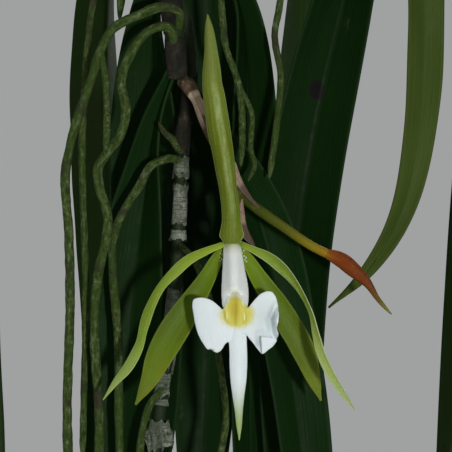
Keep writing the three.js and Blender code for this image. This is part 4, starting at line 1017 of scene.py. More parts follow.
# The ovary, and the bud with its own stalk
# The ovary is the green stem-like part behind the flower. The bud is its unopened twin, a slender drop with
# three shallow grooves where its outer parts meet, golden at the neck, rust red in the belly, green-tipped.
OVARY = [[0.1, 1.8, 0.6], [0.8, 8, 3], [1.9, 12, 9], [2.4, 14.2, 17.6]]
OVARY_R = [2.6, 2.0, 1.7, 1.6]
BUD_STALK = [
    [2.2, 13.8, 15.4], [6.2, 12.4, 12.4], [12.4, 9.9, 7.9], [17.3, 8, 4.5], [22.1, 6.2, 1.1],
    [26.4, 4.9, -1.6], [31.4, 3.8, -4.1],
]
BUD_STALK_R = [1.5, 1.7, 1.6, 1.5, 1.5]
BUD = [
    [30.7, 4, -3.8], [33.1, 3.2, -4.7], [36.1, 2.2, -6.3], [38.7, 1.2, -8.5], [41.2, 0.3, -10.7],
    [43.4, -0.6, -12.9], [45, -1.3, -15.2], [46.5, -2, -17.7], [48.9, -2.6, -20.7], [51.3, -3, -23.3],
]
BUD_R = [1.55, 2.35, 2.62, 2.4, 1.85, 1.25, 0.87, 0.65, 0.28]
OVARY_TONES = [(0, (0.11, 0.16, 0.014)), (0.5, (0.08, 0.11, 0.012)), (1, (0.06, 0.065, 0.014))]
BUD_STALK_TONES = [
    (0.0, (0.04, 0.055, 0.006)), (0.3, (0.06, 0.078, 0.007)), (0.6, (0.11, 0.115, 0.01)),
    (0.85, (0.23, 0.18, 0.005)), (1.0, (0.3, 0.15, 0.006)),
]
BUD_TONES = [
    (0.0, (0.3, 0.14, 0.01)), (0.07, (0.25, 0.075, 0.01)), (0.16, (0.19, 0.04, 0.006)),
    (0.5, (0.15, 0.034, 0.006)), (0.66, (0.14, 0.045, 0.01)), (0.8, (0.13, 0.085, 0.012)),
    (0.97, (0.18, 0.2, 0.03)),
]


def fleshy(name, tones, flecks, many):
    """Skin of a fleshy stalk or bud: tones from foot to tip that run into each other along many fibres."""
    flesh = Finish(
        name, Roughness=0.48, Subsurface_Weight=0.1, Subsurface_Scale=0.001, Specular_IOR_Level=0.12,
    )
    where = flesh.spot()
    round_at, along = (flesh.axis(flesh.wrap(), letter) for letter in "XY")
    grain = flesh.strands(round_at, along, many, 3)
    uneven = flesh.sum("ADD", along, flesh.sum("MULTIPLY", flesh.sum("SUBTRACT", grain, 0.5), 0.25))
    tone = flesh.shades(uneven, tones)
    flesh.colour(flesh.blend(flesh.band(flesh.cloud(where, 420, 4, 0.7), 0.5, 0.7, 0, 0.3), tone, flecks))
    flesh.surface(flesh.relief(grain, 0.0002))
    return flesh


green = fleshy("ovary", OVARY_TONES, (0.16, 0.17, 0.03), 16)
olive = fleshy("bud_stalk", BUD_STALK_TONES, (0.17, 0.16, 0.03), 16)
rusty = fleshy("bud", BUD_TONES, (0.22, 0.09, 0.014), 20)
piece("ovary_neck", stalk_skin("ovary", OVARY, OVARY_R), green, "ovary", "ovary")
piece("bud_neck", stalk_skin("bud_stalk", BUD_STALK, BUD_STALK_R), olive, "ovary", "bud_stalk")
bud = stalk_skin("bud", BUD, BUD_R, sides=48, grooves=3, depth=0.09, per_mm=5)
piece("flower_bud", bud, rusty, "bud", "bud")

# The sepals and petals
# Five narrow parts stand round the column, stiff as wax. The sepals are broader and olive green shading to
# bronze, the petals slender and yellow-green. Small beads of nectar sit at the foot of the side sepals.
TEPAL_THICK = 1.1
TEPAL_EDGE = 0.65
TEPALS = {  # half widths, how the halves rise, twist, where it faces, and its middle line
    "sepal_top": [
        [
            2.7, 3.7, 3.3, 3.5, 3.6, 3.7, 4.0, 4.2, 4.35, 4.5, 4.6, 4.5, 4.3, 4.1, 3.7, 3.4, 2.85, 2.3, 1.9,
            1.3, 0.25,
        ],
        [-8, -36, -40, -38, -34, -30, -24], [0, 0], [[0, -1, 0.2], [-0.1, -1, 0]], [
            [-0.1, -3.7, -0.5], [-0.1, -3.6, 2], [-0.4, -3.4, 10.5], [-1.2, -3.4, 16.7], [-3.1, -3.4, 29.6],
            [-4.3, -3, 36], [-5.8, -2.2, 46.4], [-6.5, -1.9, 51], [-6.9, -0.6, 62], [-7.9, 1.2, 73.6],
        ],
    ],
    "petal_left": [
        [0.9, 1.2, 1.6, 1.8, 1.4, 1.5, 1.7, 1.4, 1.7, 1.65, 0.95, 0.2], [20, 14, 10, 14, 12, 8],
        [-20, -8, 0, 8, 0, 14, 6], [[0, -1, 0.3], [0, -1, 0]], [
            [-2.4, -0.5, -0.6], [-9, -4.5, -3.2], [-13.9, -6.5, -5.7], [-18.2, -7.5, -9.5],
            [-22.6, -8, -14.3], [-26, -7.5, -20.7], [-28.2, -6.5, -27.1], [-29.7, -5, -33.1],
            [-33.3, -3, -40.1], [-37.2, -1.5, -44.8], [-41.6, 0, -50.9],
        ],
    ],
    "petal_right": [
        [1.0, 1.15, 1.65, 1.8, 1.4, 1.05, 1.05, 1.3, 1.45, 1.5, 1.45, 1.2, 0.8, 0.2], [20, 14, 10, 14, 12, 8],
        [20, 5, 25, 55, 20, 8, 0], [[0, -1, 0.3], [0, -1, 0]], [
            [2.6, -0.5, -0.6], [7.5, -4, -2.8], [12.2, -6.5, -5.3], [16.6, -9, -9], [19.6, -11, -12.5],
            [22.5, -13, -17], [25.1, -15.5, -22.6], [26.5, -17.5, -29], [27.9, -18.5, -34.6],
            [30.5, -18.5, -40.6], [33.6, -17, -45.7], [38.8, -13, -53],
        ],
    ],
    "sepal_left": [
        [1.3, 2.3, 3.0, 3.7, 4.4, 4.9, 4.9, 4.4, 3.4, 2.0, 0.35], [30, 24, 16, 14, 14, 10], [0, 0],
        [[-0.1, -1, 0.2], [0.15, -1, 0]], [
            [-1.6, 1.6, -1.2], [-4.8, 3, -5.6], [-7.6, 3.5, -11], [-10.6, 4, -16], [-14.5, 4, -22],
            [-18.4, 4, -28], [-21.5, 4.5, -33.2], [-24.5, 5.5, -39], [-26.8, 7, -44.6], [-31.5, 9, -53.2],
        ],
    ],
    "sepal_right": [
        [1.3, 2.3, 3.0, 3.5, 3.9, 4.1, 4.1, 3.9, 3.1, 1.9, 0.35], [30, 24, 16, 14, 14, 10], [0, 0],
        [[0.1, -1, 0.2], [-0.15, -1, 0]], [
            [1.9, 1.6, -1.2], [5, 3, -5.8], [7.8, 3.5, -10.5], [11.2, 4, -15.6], [15, 4, -21.2],
            [18.6, 4, -27], [21.6, 4, -32], [24.2, 4.5, -37.6], [26.2, 5.5, -43.6], [29, 7.5, -51.8],
        ],
    ],
}


def waxy(name, tones, middle, stripe, sides, rim, rim_share):
    """The skin of a sepal or petal: tones from base to tip, a paler stripe, two flanks and a light rim.

    The paler stripe is partly a painted highlight, with painted glints in it, the flanks carry painted light
    and shade, and the light rim is a paler margin that is partly a painted highlight. stripe is the middle
    and half width of the paler stripe, on a width of -1 to 1, its strength, and the share of the length where
    it fades out, which is past 1 where it runs to the tip.
    """
    wax = Finish(name, Roughness=0.48, Subsurface_Weight=0.1, Subsurface_Scale=0.001, Specular_IOR_Level=0.1)
    wax.shader.inputs["Subsurface Radius"].default_value = (0.7, 1.0, 0.25)
    where = wax.spot()
    across = across_blade(wax)[0]
    along = wax.axis(wax.wrap(), "Y")
    veins = wax.strands(across, along, 7, 3, rough=0.65)
    cells = wax.cloud(where, 1500, 2, 0.6)
    # Painted glints: small bright specks laid into the paler stripe.
    painted_glints = wax.band(wax.cells(where, 1700), 0.1, 0.36, 1, 0)
    tone = wax.shades(along, tones)
    # The two flanks are tinted by their own factors: partly painted light and shade, brighter where a flank
    # faces the light and darker where it turns away, and partly bronze on the side sepals.
    for edge, flank in zip((-1, 1), sides):
        side = wax.band(wax.sum("MULTIPLY", across, edge), 0.1, 0.9)
        tone = wax.blend(wax.sum("MULTIPLY", side, 0.75), tone, wax.blend(1.0, tone, flank, "MULTIPLY"))
    # The paler stripe is partly a painted highlight down the middle of the blade.
    stripe_at, half_width, strength, fades = stripe
    off = wax.sum("ABSOLUTE", wax.sum("SUBTRACT", across, stripe_at))
    centre = wax.band(off, half_width * 0.2, half_width, strength, 0)
    centre = wax.sum("MULTIPLY", centre, wax.band(along, 0.0, 0.3))
    centre = wax.sum("MULTIPLY", centre, wax.band(along, fades - 0.1, fades + 0.08, 1, 0))
    uneven = wax.band(wax.cloud(wax.stretch(where, (1, 1, 0.35)), 420, 4, 0.65), 0.34, 0.62, 0.35, 1)
    centre = wax.sum("MULTIPLY", centre, uneven)
    tone = wax.blend(centre, tone, middle)
    tone = wax.blend(wax.sum("MULTIPLY", wax.sum("MULTIPLY", painted_glints, centre), 0.8), tone, rim)
    tone = wax.blend(wax.band(veins, 0.44, 0.62, 0, 0.2), tone, wax.blend(0.5, tone, rim))
    tone = wax.blend(wax.band(cells, 0.5, 0.75, 0, 0.1), tone, rim)
    bronze = wax.band(wax.cloud(wax.stretch(where, (1, 1, 0.6)), 230, 4, 0.65), 0.46, 0.62, 0, 0.3)
    tone = wax.blend(bronze, tone, wax.blend(1.0, tone, (0.98, 0.8, 0.7), "MULTIPLY"))
    # A paler margin that is partly a painted highlight along the edges.
    pale_rim_and_highlight = wax.band(wax.sum("ABSOLUTE", across), 0.88, 0.98, 0, rim_share)
    wax.colour(wax.blend(pale_rim_and_highlight, tone, rim))
    wax.gloss(wax.band(veins, 0.3, 0.7, 0.42, 0.52))
    wax.surface(wax.relief(veins, 0.00012, wax.relief(cells, 0.00004)))
    return wax


# The petals' flank factors make one side brighter and the other darker, as painted light and shade, and the
# top sepal's darker flanks are partly painted shade. The darker stretch in the middle of the side sepals'
# tones is partly painted shade, where the lip's lobes and the petals stand in front of them.
WAX_COLOURS = {  # tones from base to tip, the stripe and its form, the two flanks, the rim and its strength
    "sepal_top": [
        [
            (0.0, (0.115, 0.152, 0.003)), (0.25, (0.11, 0.15, 0.003)), (0.5, (0.125, 0.165, 0.005)),
            (0.68, (0.15, 0.19, 0.02)), (0.8, (0.15, 0.19, 0.035)), (1.0, (0.155, 0.195, 0.045)),
        ],
        (0.31, 0.395, 0.145), [0.2, 0.4, 0.85, 0.7],
        [(0.66, 0.7, 0.3), (0.86, 0.98, 0.6)], (0.46, 0.53, 0.24), 0.75,
    ],
    "petal_left": [
        [
            (0.0, (0.25, 0.35, 0.02)), (0.2, (0.2, 0.3, 0.014)), (0.42, (0.15, 0.235, 0.01)),
            (0.64, (0.145, 0.235, 0.014)), (0.75, (0.22, 0.32, 0.06)), (0.95, (0.27, 0.36, 0.1)),
        ],
        (0.24, 0.33, 0.05), [-0.5, 0.5, 0.4, 1.2],
        [(1.3, 1.25, 1.6), (0.75, 0.75, 0.6)], (0.42, 0.52, 0.2), 0.5,
    ],
    "petal_right": [
        [
            (0.0, (0.25, 0.35, 0.02)), (0.1, (0.22, 0.33, 0.02)), (0.22, (0.15, 0.23, 0.01)),
            (0.42, (0.12, 0.19, 0.01)), (0.55, (0.19, 0.27, 0.03)), (0.7, (0.28, 0.38, 0.1)),
            (0.95, (0.33, 0.44, 0.15)),
        ],
        (0.28, 0.4, 0.1), [0.4, 0.5, 0.5, 1.2],
        [(0.75, 0.75, 0.6), (1.25, 1.2, 1.5)], (0.5, 0.58, 0.3), 0.8,
    ],
    "sepal_left": [
        [
            (0.0, (0.17, 0.25, 0.012)), (0.16, (0.14, 0.225, 0.008)), (0.3, (0.1, 0.165, 0.004)),
            (0.48, (0.078, 0.135, 0.003)), (0.64, (0.11, 0.175, 0.006)), (0.8, (0.145, 0.205, 0.014)),
            (1.0, (0.14, 0.18, 0.02)),
        ],
        (0.095, 0.17, 0.008), [0.05, 0.6, 0.55, 1.2],
        [(1.1, 1.0, 1.0), (0.72, 0.76, 0.35)], (0.2, 0.26, 0.06), 0.3,
    ],
    "sepal_right": [
        [
            (0.0, (0.19, 0.285, 0.013)), (0.16, (0.16, 0.26, 0.01)), (0.34, (0.1, 0.165, 0.004)),
            (0.55, (0.078, 0.13, 0.003)), (0.75, (0.09, 0.14, 0.006)), (0.88, (0.15, 0.2, 0.018)),
            (1.0, (0.16, 0.2, 0.03)),
        ],
        (0.1, 0.165, 0.008), [0.05, 0.6, 0.6, 1.2],
        [(0.95, 0.92, 1.0), (1.0, 0.95, 0.6)], (0.18, 0.23, 0.05), 0.3,
    ],
}
WAXES = {name: waxy(name, *colours) for name, colours in WAX_COLOURS.items()}


def drop(spot, size):
    """A small round bead of nectar."""
    outline = [[0.01, -size], [size * 0.7, -size * 0.7], [size, 0], [size * 0.7, size * 0.7], [0.01, size]]
    return skin("drop", at_flower(turned(outline, 10) + np.asarray(spot)))


EAR_AT, EAR_LONG, EAR_OUT = 0.033, 0.016, 0.6
NECTAR = {  # where the beads stand on each side sepal, seen from the front
    "sepal_left": [[-3.3, -2.9], [-3.6, -3.6], [-3.2, -4.3], [-3.8, -4.9], [-3.3, -5.5], [-3.7, -6.1]],
    "sepal_right": [[3.9, -2.9], [3.4, -3.7], [3.9, -4.4], [4.3, -5], [4.2, -5.8], [4.6, -6.3]],
}
nectar = []
for name, (half, lift, twist, face, points) in TEPALS.items():
    if name == "sepal_top":  # its margins roll into two small ears just above the base
        shares = np.linspace(0, 1, 161)
        half = spline(half, shares) + EAR_OUT * np.exp(-(((shares - EAR_AT) / EAR_LONG) ** 2))
    rings, round_at = blade(
        Path(points), face, half, lift, 0.7, TEPAL_THICK, TEPAL_EDGE, 150, 21,
        twist=twist, ripple=0.25, seed=7.7,
    )
    slot = "petal" if name.startswith("petal") else "sepal"
    piece("waxy_" + name, skin(name, at_flower(rings), round_at=round_at), WAXES[name], slot, name)
    front = rings[:, : rings.shape[1] // 2].reshape(-1, 3)
    for k, (x, z) in enumerate(NECTAR.get(name, [])):
        seat = front[np.argmin(np.hypot(front[:, 0] - x, front[:, 2] - z))]
        nectar.append(drop(seat, 0.22 + 0.13 * abs(math.sin(3.3 * k + x))))
wet = Finish("nectar", Roughness=0.06, Specular_IOR_Level=0.6)
wet.colour(wet.blend(wet.cloud(wet.spot(), 900, 2), (0.5, 0.58, 0.35), (0.8, 0.84, 0.7)))
piece("nectar_drops", gathered("nectar", nectar), wet, "sepal")

# The column
# The white body in the middle of the flower: a rounded ridge that ends in the anther cap, between two thin
# wings that bend back and reach past it on either side of the lip's yellow callus.
COLUMN = [[0.1, 2.4, 0.2], [0.2, -1.8, -2.4], [0.7, -8, -9], [1, -12.1, -15.4]]
COLUMN_R = [2.3, 2.2, 2.05, 1.95, 1.95, 1.9]
COLUMN_OUTLINE = [
    [0.2, 1.2], [-1.8, 0.4], [-2.8, -1.4], [-3, -5.4], [-3.4, -13], [-3.4, -18], [-2.9, -20.9], [-2.4, -20.9],
    [-1.35, -18.7], [-0.75, -17.1], [-0.1, -16.3], [0.9, -16], [2.1, -16.3], [2.6, -17.1], [3.5, -18.7],
    [4.3, -20.6], [4.8, -20.8], [5.3, -18.1], [5.2, -14.3], [4.3, -9.2], [3.4, -4.1], [2.7, -1],
]
COLUMN_MIDDLE = [0.9, -11]
COLUMN_DIM = (0.82, 0.87, 0.84)
COLUMN_BRIGHT = (0.88, 0.92, 0.89)
GREEN_BASE = (0.42, 0.5, 0.2)
COLUMN_YOLK = (0.66, 0.6, 0.13)
COLUMN_SHADE = (0.6, 0.62, 0.56)
COLUMN_FLANK_SHADE = (0.5, 0.55, 0.46)
SHEET_SIDES = 180
VOXEL = 0.2


def sheet(outline, centre, depth, thick, rows=15):
    """Rings over a thin sheet of free outline, from the middle of its front round its margin to its back."""
    margin = Path([[x, 0, z] for x, z in outline + outline[:1]])
    edge = margin.at(np.linspace(0, 1, SHEET_SIDES, endpoint=False))
    middle = np.array([centre[0], 0, centre[1]])
    front, back = [], []
    for r in np.sin(np.linspace(0.05, 1, rows) * math.pi / 2):
        spots = middle + (edge - middle) * r
        spots[:, 1] = depth(spots[:, 0], spots[:, 2])
        body = np.array([0, thick / 2 * math.sqrt(1.03 - r**10), 0])
        front.append(spots - body)
        back.append(spots + body)
    return np.array(front + back[::-1])


def grown_together(name, shapes, passes):
    """One closed skin round several shapes that overlap, made in millimetres and set at the flower."""
    body = bpy.data.objects.new(name, gathered(name, [skin(name, rings) for rings in shapes]))
    bpy.context.scene.collection.objects.link(body)
    remesh = body.modifiers.new("one_skin", "REMESH")
    remesh.mode = "VOXEL"
    remesh.voxel_size = VOXEL
    smooth = body.modifiers.new("soften", "SMOOTH")
    smooth.factor = 0.5
    smooth.iterations = passes
    grown = bpy.data.meshes.new_from_object(body.evaluated_get(bpy.context.evaluated_depsgraph_get()))
    bpy.data.objects.remove(body)
    for v in grown.vertices:
        v.co = at_flower(np.array(v.co))
    return tidied(grown)


def from_flower(finish):
    """Where a point lies in millimetres from the middle of the flower."""
    scale = tuple([1 / MM] * 3)
    return finish.stretch(finish.spot(), scale, tuple((-(RIM / MM + FLOWER)).tolist()))


def wing_depth(x, z):
    """How far forward the column's front lies: a rounded ridge between two wings that bend back."""
    line = np.interp(-z, [-1, 3, 9.5, 15.5, 21.5], [-0.4, -3.2, -8.3, -12, -13.7])
    middle = np.interp(-z, [0, 16], [0.2, 0.9])
    swell = 1.8 * np.exp(-((np.abs(x - middle) / 2.2) ** 3)) * np.clip((z + 16.4) / 2.2, 0, 1) ** 0.6
    return line + 2.6 * ((x - 0.9) / 4.6) ** 2 - swell


path = Path([[x, y + 1.4, z] for x, y, z in COLUMN])
shares = np.linspace(0, 1, 60)
round_end = np.sqrt(np.clip(1 - np.clip((shares - 0.9) / 0.1, 0, 1) ** 2, 0.06, 1))
ridge = limb(path, spline(COLUMN_R, shares) * round_end, 40, shares)
shapes = [ridge, sheet(COLUMN_OUTLINE, COLUMN_MIDDLE, wing_depth, 0.9, rows=24)]
white = Finish(
    "column", Roughness=0.42, Subsurface_Weight=0.15, Subsurface_Scale=0.001, Specular_IOR_Level=0.3,
)
place = from_flower(white)
height = white.axis(place, "Z")
satin = white.cloud(white.stretch(place, (1, 1, 0.25)), 1.1, 4, 0.6)
body = white.blend(satin, COLUMN_DIM, COLUMN_BRIGHT)
body = white.blend(white.band(height, -4.2, 0, 0, 0.85), body, GREEN_BASE)
yolk = white.near(place, (0.9, -14, -19.4), (3.1, 12, 6.6))
body = white.blend(white.sum("MULTIPLY", yolk, 0.85), body, COLUMN_YOLK)
end_shade = white.near(place, (0.9, -13, -15.6), (2.5, 12, 1.8))
body = white.blend(white.sum("MULTIPLY", end_shade, 0.35), body, COLUMN_SHADE)
# Painted shade: a grey-green tint down both wings beside the ridge, where they bend back.
off = white.sum("ABSOLUTE", white.sum("SUBTRACT", white.axis(place, "X"), 0.7))
white.colour(white.blend(white.band(off, 1.7, 3.6, 0, 0.2), body, COLUMN_FLANK_SHADE))
white.surface(white.relief(satin, 0.0001, white.relief(white.cloud(place, 9, 2), 0.00003)))
piece("white_column", grown_together("column", shapes, 14), white, "column", "column")

# The lip
# The lowest part of the flower, white and crisp: two rounded side lobes, a long narrow middle lobe with a
# green point, and a yellow callus of a keel between two ridges where it joins the column by a short claw.
LEFT_LOBE = [
    [1.5, -21], [-2.6, -21.5], [-4.2, -20.2], [-6.1, -18.6], [-8.3, -17.7], [-10.5, -17.5], [-12.3, -18.2],
    [-12.7, -20], [-12.3, -23], [-11.9, -25.5], [-10.8, -29.3], [-9.4, -31.9], [-7.7, -34.1], [-6.9, -34],
    [-6.3, -34.4], [-5.2, -35], [-4.2, -34.9], [-3.1, -33.9], [-2.2, -32.4], [-1.2, -31.6], [1.5, -31],
]
RIGHT_LOBE = [
    [0.5, -21], [4.7, -20.8], [6.1, -19.4], [7.8, -17.4], [9.4, -16.1], [11.1, -15.5], [12.7, -15.7],
    [13.7, -16.9], [14.4, -18.8], [14.8, -21.8], [14.7, -25], [14.2, -27.1], [14.75, -29.2], [14.1, -31],
    [13, -32.8], [11.4, -34.2], [9.6, -35.5], [8.2, -34.2], [6.8, -32.3], [5.1, -30.2], [4.3, -29.2],
    [0.5, -30],
]
FLAP = [
    [9, -29.7], [11, -29.9], [13.3, -30.3], [14.2, -30.9], [13.1, -32.8], [11.5, -34.1], [9.6, -35.4],
    [9.2, -32.4],
]
MIDDLE_LOBE = [
    [1.2, -12.4, -25], [1.9, -12.8, -33], [2.0, -13, -41], [2.0, -12.4, -48.5], [2.15, -11.2, -55],
    [2.3, -8.9, -63.2],
]
CLAW = [[0.2, -0.7, -3], [0.7, -6.2, -10.5], [1, -10.2, -17.1], [1.1, -12.3, -23.5]]
CALLUS = [
    [1, -14.6], [-1.2, -16.2], [-2.2, -19.3], [-3, -21.6], [-3.2, -24], [-2, -26.3], [1.2, -27.8],
    [4.4, -26.3], [5.6, -24], [5.2, -21.6], [4.3, -19.3], [3.2, -16.2],
]
CALLUS_RIDGES = [[[-2.4, -20.8], [-1.1, -25.2]], [[3.5, -20.8], [4.1, -25.2]]]
MIDDLE_LOBE_HALVES = [2.95, 2.95, 2.9, 2.92, 2.65, 2.0, 1.42, 0.98, 0.28]
CLAW_HALVES = [2.4, 2.8, 3.2, 3.4, 3.4]
LIP_DIM = (0.7, 0.78, 0.79)
LIP_BRIGHT = (0.76, 0.83, 0.84)
GREEN_POINT = (0.3, 0.41, 0.12)
YOLK_LIGHT = (0.68, 0.63, 0.08)
YOLK_DULL = (0.6, 0.56, 0.12)
# Painted shade along the outer foot of each callus ridge, and a painted highlight along its crest.
RIDGE_FOOT_SHADE = (0.4, 0.36, 0.04)
RIDGE_HIGHLIGHT = (0.86, 0.85, 0.45)
CALLUS_TINTS = [  # middle from the flower, how far it reaches, how strong it is, and its colour
    [(1, -13, -21.2), (2.6, 12, 6.6), 0.95, (0.44, 0.345, 0.008)],
    # painted shade on the top of the callus, under the end of the column
    [(0.9, -13, -16.6), (2.6, 12, 2.4), 0.3, (0.55, 0.52, 0.3)],
    [(0.9, -13, -23), (0.32, 12, 9), 0.55, (0.33, 0.26, 0.06)],
    [(-2.25, -13, -23.6), (0.5, 12, 2.4), 0.6, RIDGE_FOOT_SHADE],
    [(-1.7, -13, -23.7), (0.5, 12, 2.2), 0.9, RIDGE_HIGHLIGHT],
    [(4.45, -13, -23.6), (0.5, 12, 2.4), 0.6, RIDGE_FOOT_SHADE],
    [(3.9, -13, -23.7), (0.5, 12, 2.2), 0.9, RIDGE_HIGHLIGHT],
]
VALLEY_SHADE_GREY = (0.36, 0.42, 0.41)
RIGHT_LOBE_SHADE_GREY = (0.52, 0.6, 0.6)
BITTEN_EDGE = (0.2, 0.1, 0.05)


def mound(x, z, middle, reach):
    """1 at the middle of a soft round swelling, falling away over its reach."""
    return np.exp(-(((x - middle[0]) / reach[0]) ** 2) - ((z - middle[1]) / reach[1]) ** 2)


def left_depth(x, z):
    """How far forward the left side lobe lies: a low swelling, bent back at its outer margin."""
    return -12.2 - 0.9 * mound(x, z, (-4.5, -28), (5, 6)) + 0.9 * np.clip((-x - 8) / 5, 0, 1) ** 2


def right_depth(x, z):
    """How far forward the right side lobe lies: its outer third is folded over along a shallow valley."""
    valley = np.interp(-z, [19, 20.5, 24.5, 29.3, 32], [14.6, 13.9, 12.1, 12.9, 14.4])
    off = x - valley
    held = np.clip((-z - 17.5) / 3, 0, 1) * np.clip((z + 32) / 2, 0, 1)
    fold = 1.5 * np.exp(-((off / 1.3) ** 2)) - 2.3 * np.clip(off / 1.8, 0, 1)
    pocket = 1.7 * mound(x, z, (8.6, -31.5), (1.5, 3.5)) + 0.5 * mound(x, z, (11, -29.2), (2.5, 1))
    return -12.4 - 0.8 * mound(x, z, (6.5, -25), (4, 6)) + held * fold + pocket


def flap_depth(x, z):
    """How far forward the corner lies that is turned in over the right side lobe."""
    inward = np.clip((14.4 - x) * 0.7 + (z + 35.6) * 0.7, 0, 8) / 8
    return -12.7 - 1.9 * inward**0.8


def callus_depth(x, z):
    """How far forward the callus lies: a low mound with a furrow down its middle and a ridge on each side."""
    swell = 1.0 * mound(x, z, (1.1, -21), (3.2, 5))
    furrow = 0.35 * np.exp(-(((x - 1) / 0.4) ** 2)) * np.clip((-z - 15) / 3, 0, 1)
    for (x0, z0), (x1, z1) in CALLUS_RIDGES:
        share = np.clip((z0 - z) / (z0 - z1), 0, 1)
        past_end = np.clip(np.abs(z - (z0 + z1) / 2) - (z0 - z1) / 2, 0, None)
        off = np.hypot(x - (x0 + (x1 - x0) * share), past_end)
        swell = swell + 0.75 * np.exp(-((off / 0.5) ** 2)) * (0.4 + 0.6 * share)
    return -12.3 - swell + furrow + 1.3 * np.clip((z + 18.4) / 2.2, 0, 1)


def thin_blade(points, looks, half, lift, thick):
    """Rings of a narrow blade that looks one way at its base and straight ahead at its end."""
    return blade(Path(points), [looks, [0, -1, 0]], half, lift, 1, thick, 0.8, 110, 19)[0]


shapes = [
    sheet(LEFT_LOBE, [-6.3, -26.5], left_depth, 0.85),
    sheet(RIGHT_LOBE, [8.6, -26], right_depth, 0.85),
    sheet(FLAP, [11.3, -32], flap_depth, 0.7),
    sheet(CALLUS, [1.2, -22], callus_depth, 1.4),
    thin_blade(MIDDLE_LOBE, [0, -1, 0], MIDDLE_LOBE_HALVES, [-6, -14, -22, -26, -20], 1.1),
    thin_blade(CLAW, [0, -0.8, 0.5], CLAW_HALVES, [6, 8, 8, 6, 2], 1.2),
]
crisp = Finish("lip", Roughness=0.45, Subsurface_Weight=0.12, Subsurface_Scale=0.001, Specular_IOR_Level=0.2)
place = from_flower(crisp)
veins = crisp.cloud(crisp.stretch(place, (1, 1, 0.3)), 0.9, 4, 0.6)
body = crisp.blend(veins, LIP_DIM, LIP_BRIGHT)
green_end = crisp.band(crisp.axis(place, "Z"), -43, -59)
body = crisp.blend(crisp.sum("MULTIPLY", green_end, 0.95), body, GREEN_POINT)
wide_yolk = crisp.near(place, (1.7, -13, -23.0), (8.6, 12, 6.4))
high_yolk = crisp.near(place, (0.9, -13, -20.6), (4.2, 12, 5.8))
yolk = crisp.sum("MAXIMUM", wide_yolk, high_yolk)
streaks = crisp.cloud(crisp.stretch(place, (1, 1, 0.35)), 1.9, 5, 0.7)
mottled = crisp.sum("MULTIPLY", crisp.sum("SUBTRACT", streaks, 0.5), 0.55)
yolk = crisp.band(crisp.sum("ADD", yolk, mottled), 0.06, 0.56)
body = crisp.blend(yolk, body, crisp.blend(streaks, YOLK_LIGHT, YOLK_DULL))
for middle, reach, strength, colour in CALLUS_TINTS:
    tint = crisp.near(place, middle, reach)
    body = crisp.blend(crisp.sum("MULTIPLY", tint, strength), body, colour)
# Painted shade in the valley of the right side lobe and in the pocket beside its turned-in corner.
hollow = crisp.near(place, (12.6, -12, -24.5), (1.9, 8, 6.4))
shade_beside_flap = crisp.near(place, (8.3, -12, -32), (1.5, 8, 3.6))
hollow = crisp.sum("MAXIMUM", hollow, crisp.sum("MULTIPLY", shade_beside_flap, 0.8))
body = crisp.blend(crisp.sum("MULTIPLY", hollow, 0.75), body, VALLEY_SHADE_GREY)
# Painted shade: a grey tint over the middle of the right side lobe, where it turns from the light.
right_lobe_shade = crisp.near(place, (10, -13, -23.5), (5.5, 12, 8.5))
body = crisp.blend(crisp.sum("MULTIPLY", right_lobe_shade, 0.5), body, RIGHT_LOBE_SHADE_GREY)
nick = crisp.near(place, (-6.7, -12, -34.3), (1.6, 4, 0.9))
crisp.colour(crisp.blend(nick, body, BITTEN_EDGE))
crisp.surface(crisp.relief(veins, 0.0002, crisp.relief(crisp.cloud(place, 9, 2), 0.00003)))
piece("white_lip", grown_together("lip", shapes, 5), crisp, "lip", "lip")

# The floor, the light and the camera
# A plain pale round floor far below the pot, a pale surround that is brighter behind the plant than before
# it, a small lamp near the camera and two broad soft ones, and a camera level with the flower.
FLOOR_R = 2.2
FLOOR_Z = -0.86
LAMPS = {  # where it stands, its width and its power
    "key": [(0.175, -1.05, -0.52), 0.05, 5.2],
    "fill": [(-0.35, -0.95, 0.45), 0.9, 2.6],
    "back": [(0.7, 1.2, 0.3), 0.9, 6],
}
SURROUND = [0.1, 0.44]  # how bright it is in front of the plant, and behind it
CAMERA = (-0.00194, -0.878, -0.45984)
PICTURE_WIDTH = 0.1458
PICTURE_DISTANCE = 0.750
SENSOR = 36
FLOOR_DIM = (0.62, 0.62, 0.61)
FLOOR_PALE = (0.66, 0.66, 0.65)
SURROUND_COLOUR = (0.8, 0.82, 0.82, 1)

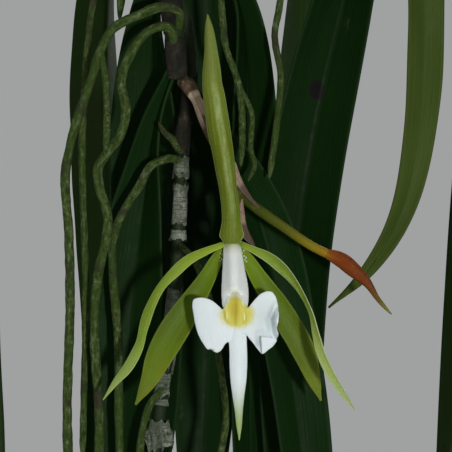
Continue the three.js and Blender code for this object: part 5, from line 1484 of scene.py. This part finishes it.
floor_edge = [(0.05, FLOOR_Z), (FLOOR_R / 2, FLOOR_Z), (FLOOR_R, FLOOR_Z), (FLOOR_R, FLOOR_Z - 0.02)]
floor_rings = np.array([
    [[r * math.cos(a), r * math.sin(a), z] for a in np.linspace(0, 2 * math.pi, 96, endpoint=False)]
    for r, z in floor_edge
])
floor = bpy.data.objects.new("floor", skin("floor", floor_rings))
floor.data.shade_flat()
bpy.context.scene.collection.objects.link(floor)
chalk = Finish("pale_floor", Roughness=0.9)
chalk.colour(chalk.blend(chalk.cloud(chalk.spot(), 3, 4, 0.5), FLOOR_DIM, FLOOR_PALE))
floor.data.materials.append(chalk.material)
floor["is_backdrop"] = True

world = bpy.data.worlds.new("surround")
world.use_nodes = True
world.node_tree.nodes["Background"].inputs["Color"].default_value = SURROUND_COLOUR
nodes, links = world.node_tree.nodes, world.node_tree.links
towards = nodes.new("ShaderNodeSeparateXYZ")
links.new(nodes.new("ShaderNodeTexCoord").outputs["Generated"], towards.inputs[0])
glow = nodes.new("ShaderNodeMapRange")
for socket, value in {"From Min": -1, "From Max": 1, "To Min": SURROUND[0], "To Max": SURROUND[1]}.items():
    glow.inputs[socket].default_value = value
links.new(towards.outputs["Y"], glow.inputs["Value"])
links.new(glow.outputs["Result"], nodes["Background"].inputs["Strength"])
bpy.context.scene.world = world
flower_spot = Vector((RIM + FLOWER * MM).tolist())
for name, (spot, width, power) in LAMPS.items():
    lamp = bpy.data.objects.new(name + "_lamp", bpy.data.lights.new(name, "AREA"))
    lamp.data.shape = "DISK"
    lamp.data.size = width
    lamp.data.energy = power
    lamp.location = spot
    lamp.rotation_euler = (Vector(spot) - flower_spot).to_track_quat("Z", "Y").to_euler()
    bpy.context.scene.collection.objects.link(lamp)
bpy.context.scene.view_settings.view_transform = "Standard"

camera = bpy.data.objects.new("camera", bpy.data.cameras.new("camera"))
camera.data.sensor_width = SENSOR
camera.data.lens = SENSOR * PICTURE_DISTANCE / PICTURE_WIDTH
camera.location = CAMERA
camera.rotation_euler = (math.radians(90), 0, 0)
bpy.context.scene.collection.objects.link(camera)
bpy.context.scene.camera = camera

size = {"cad": [list(corner) for corner in cad_box], "visual": [list(corner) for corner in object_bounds()]}
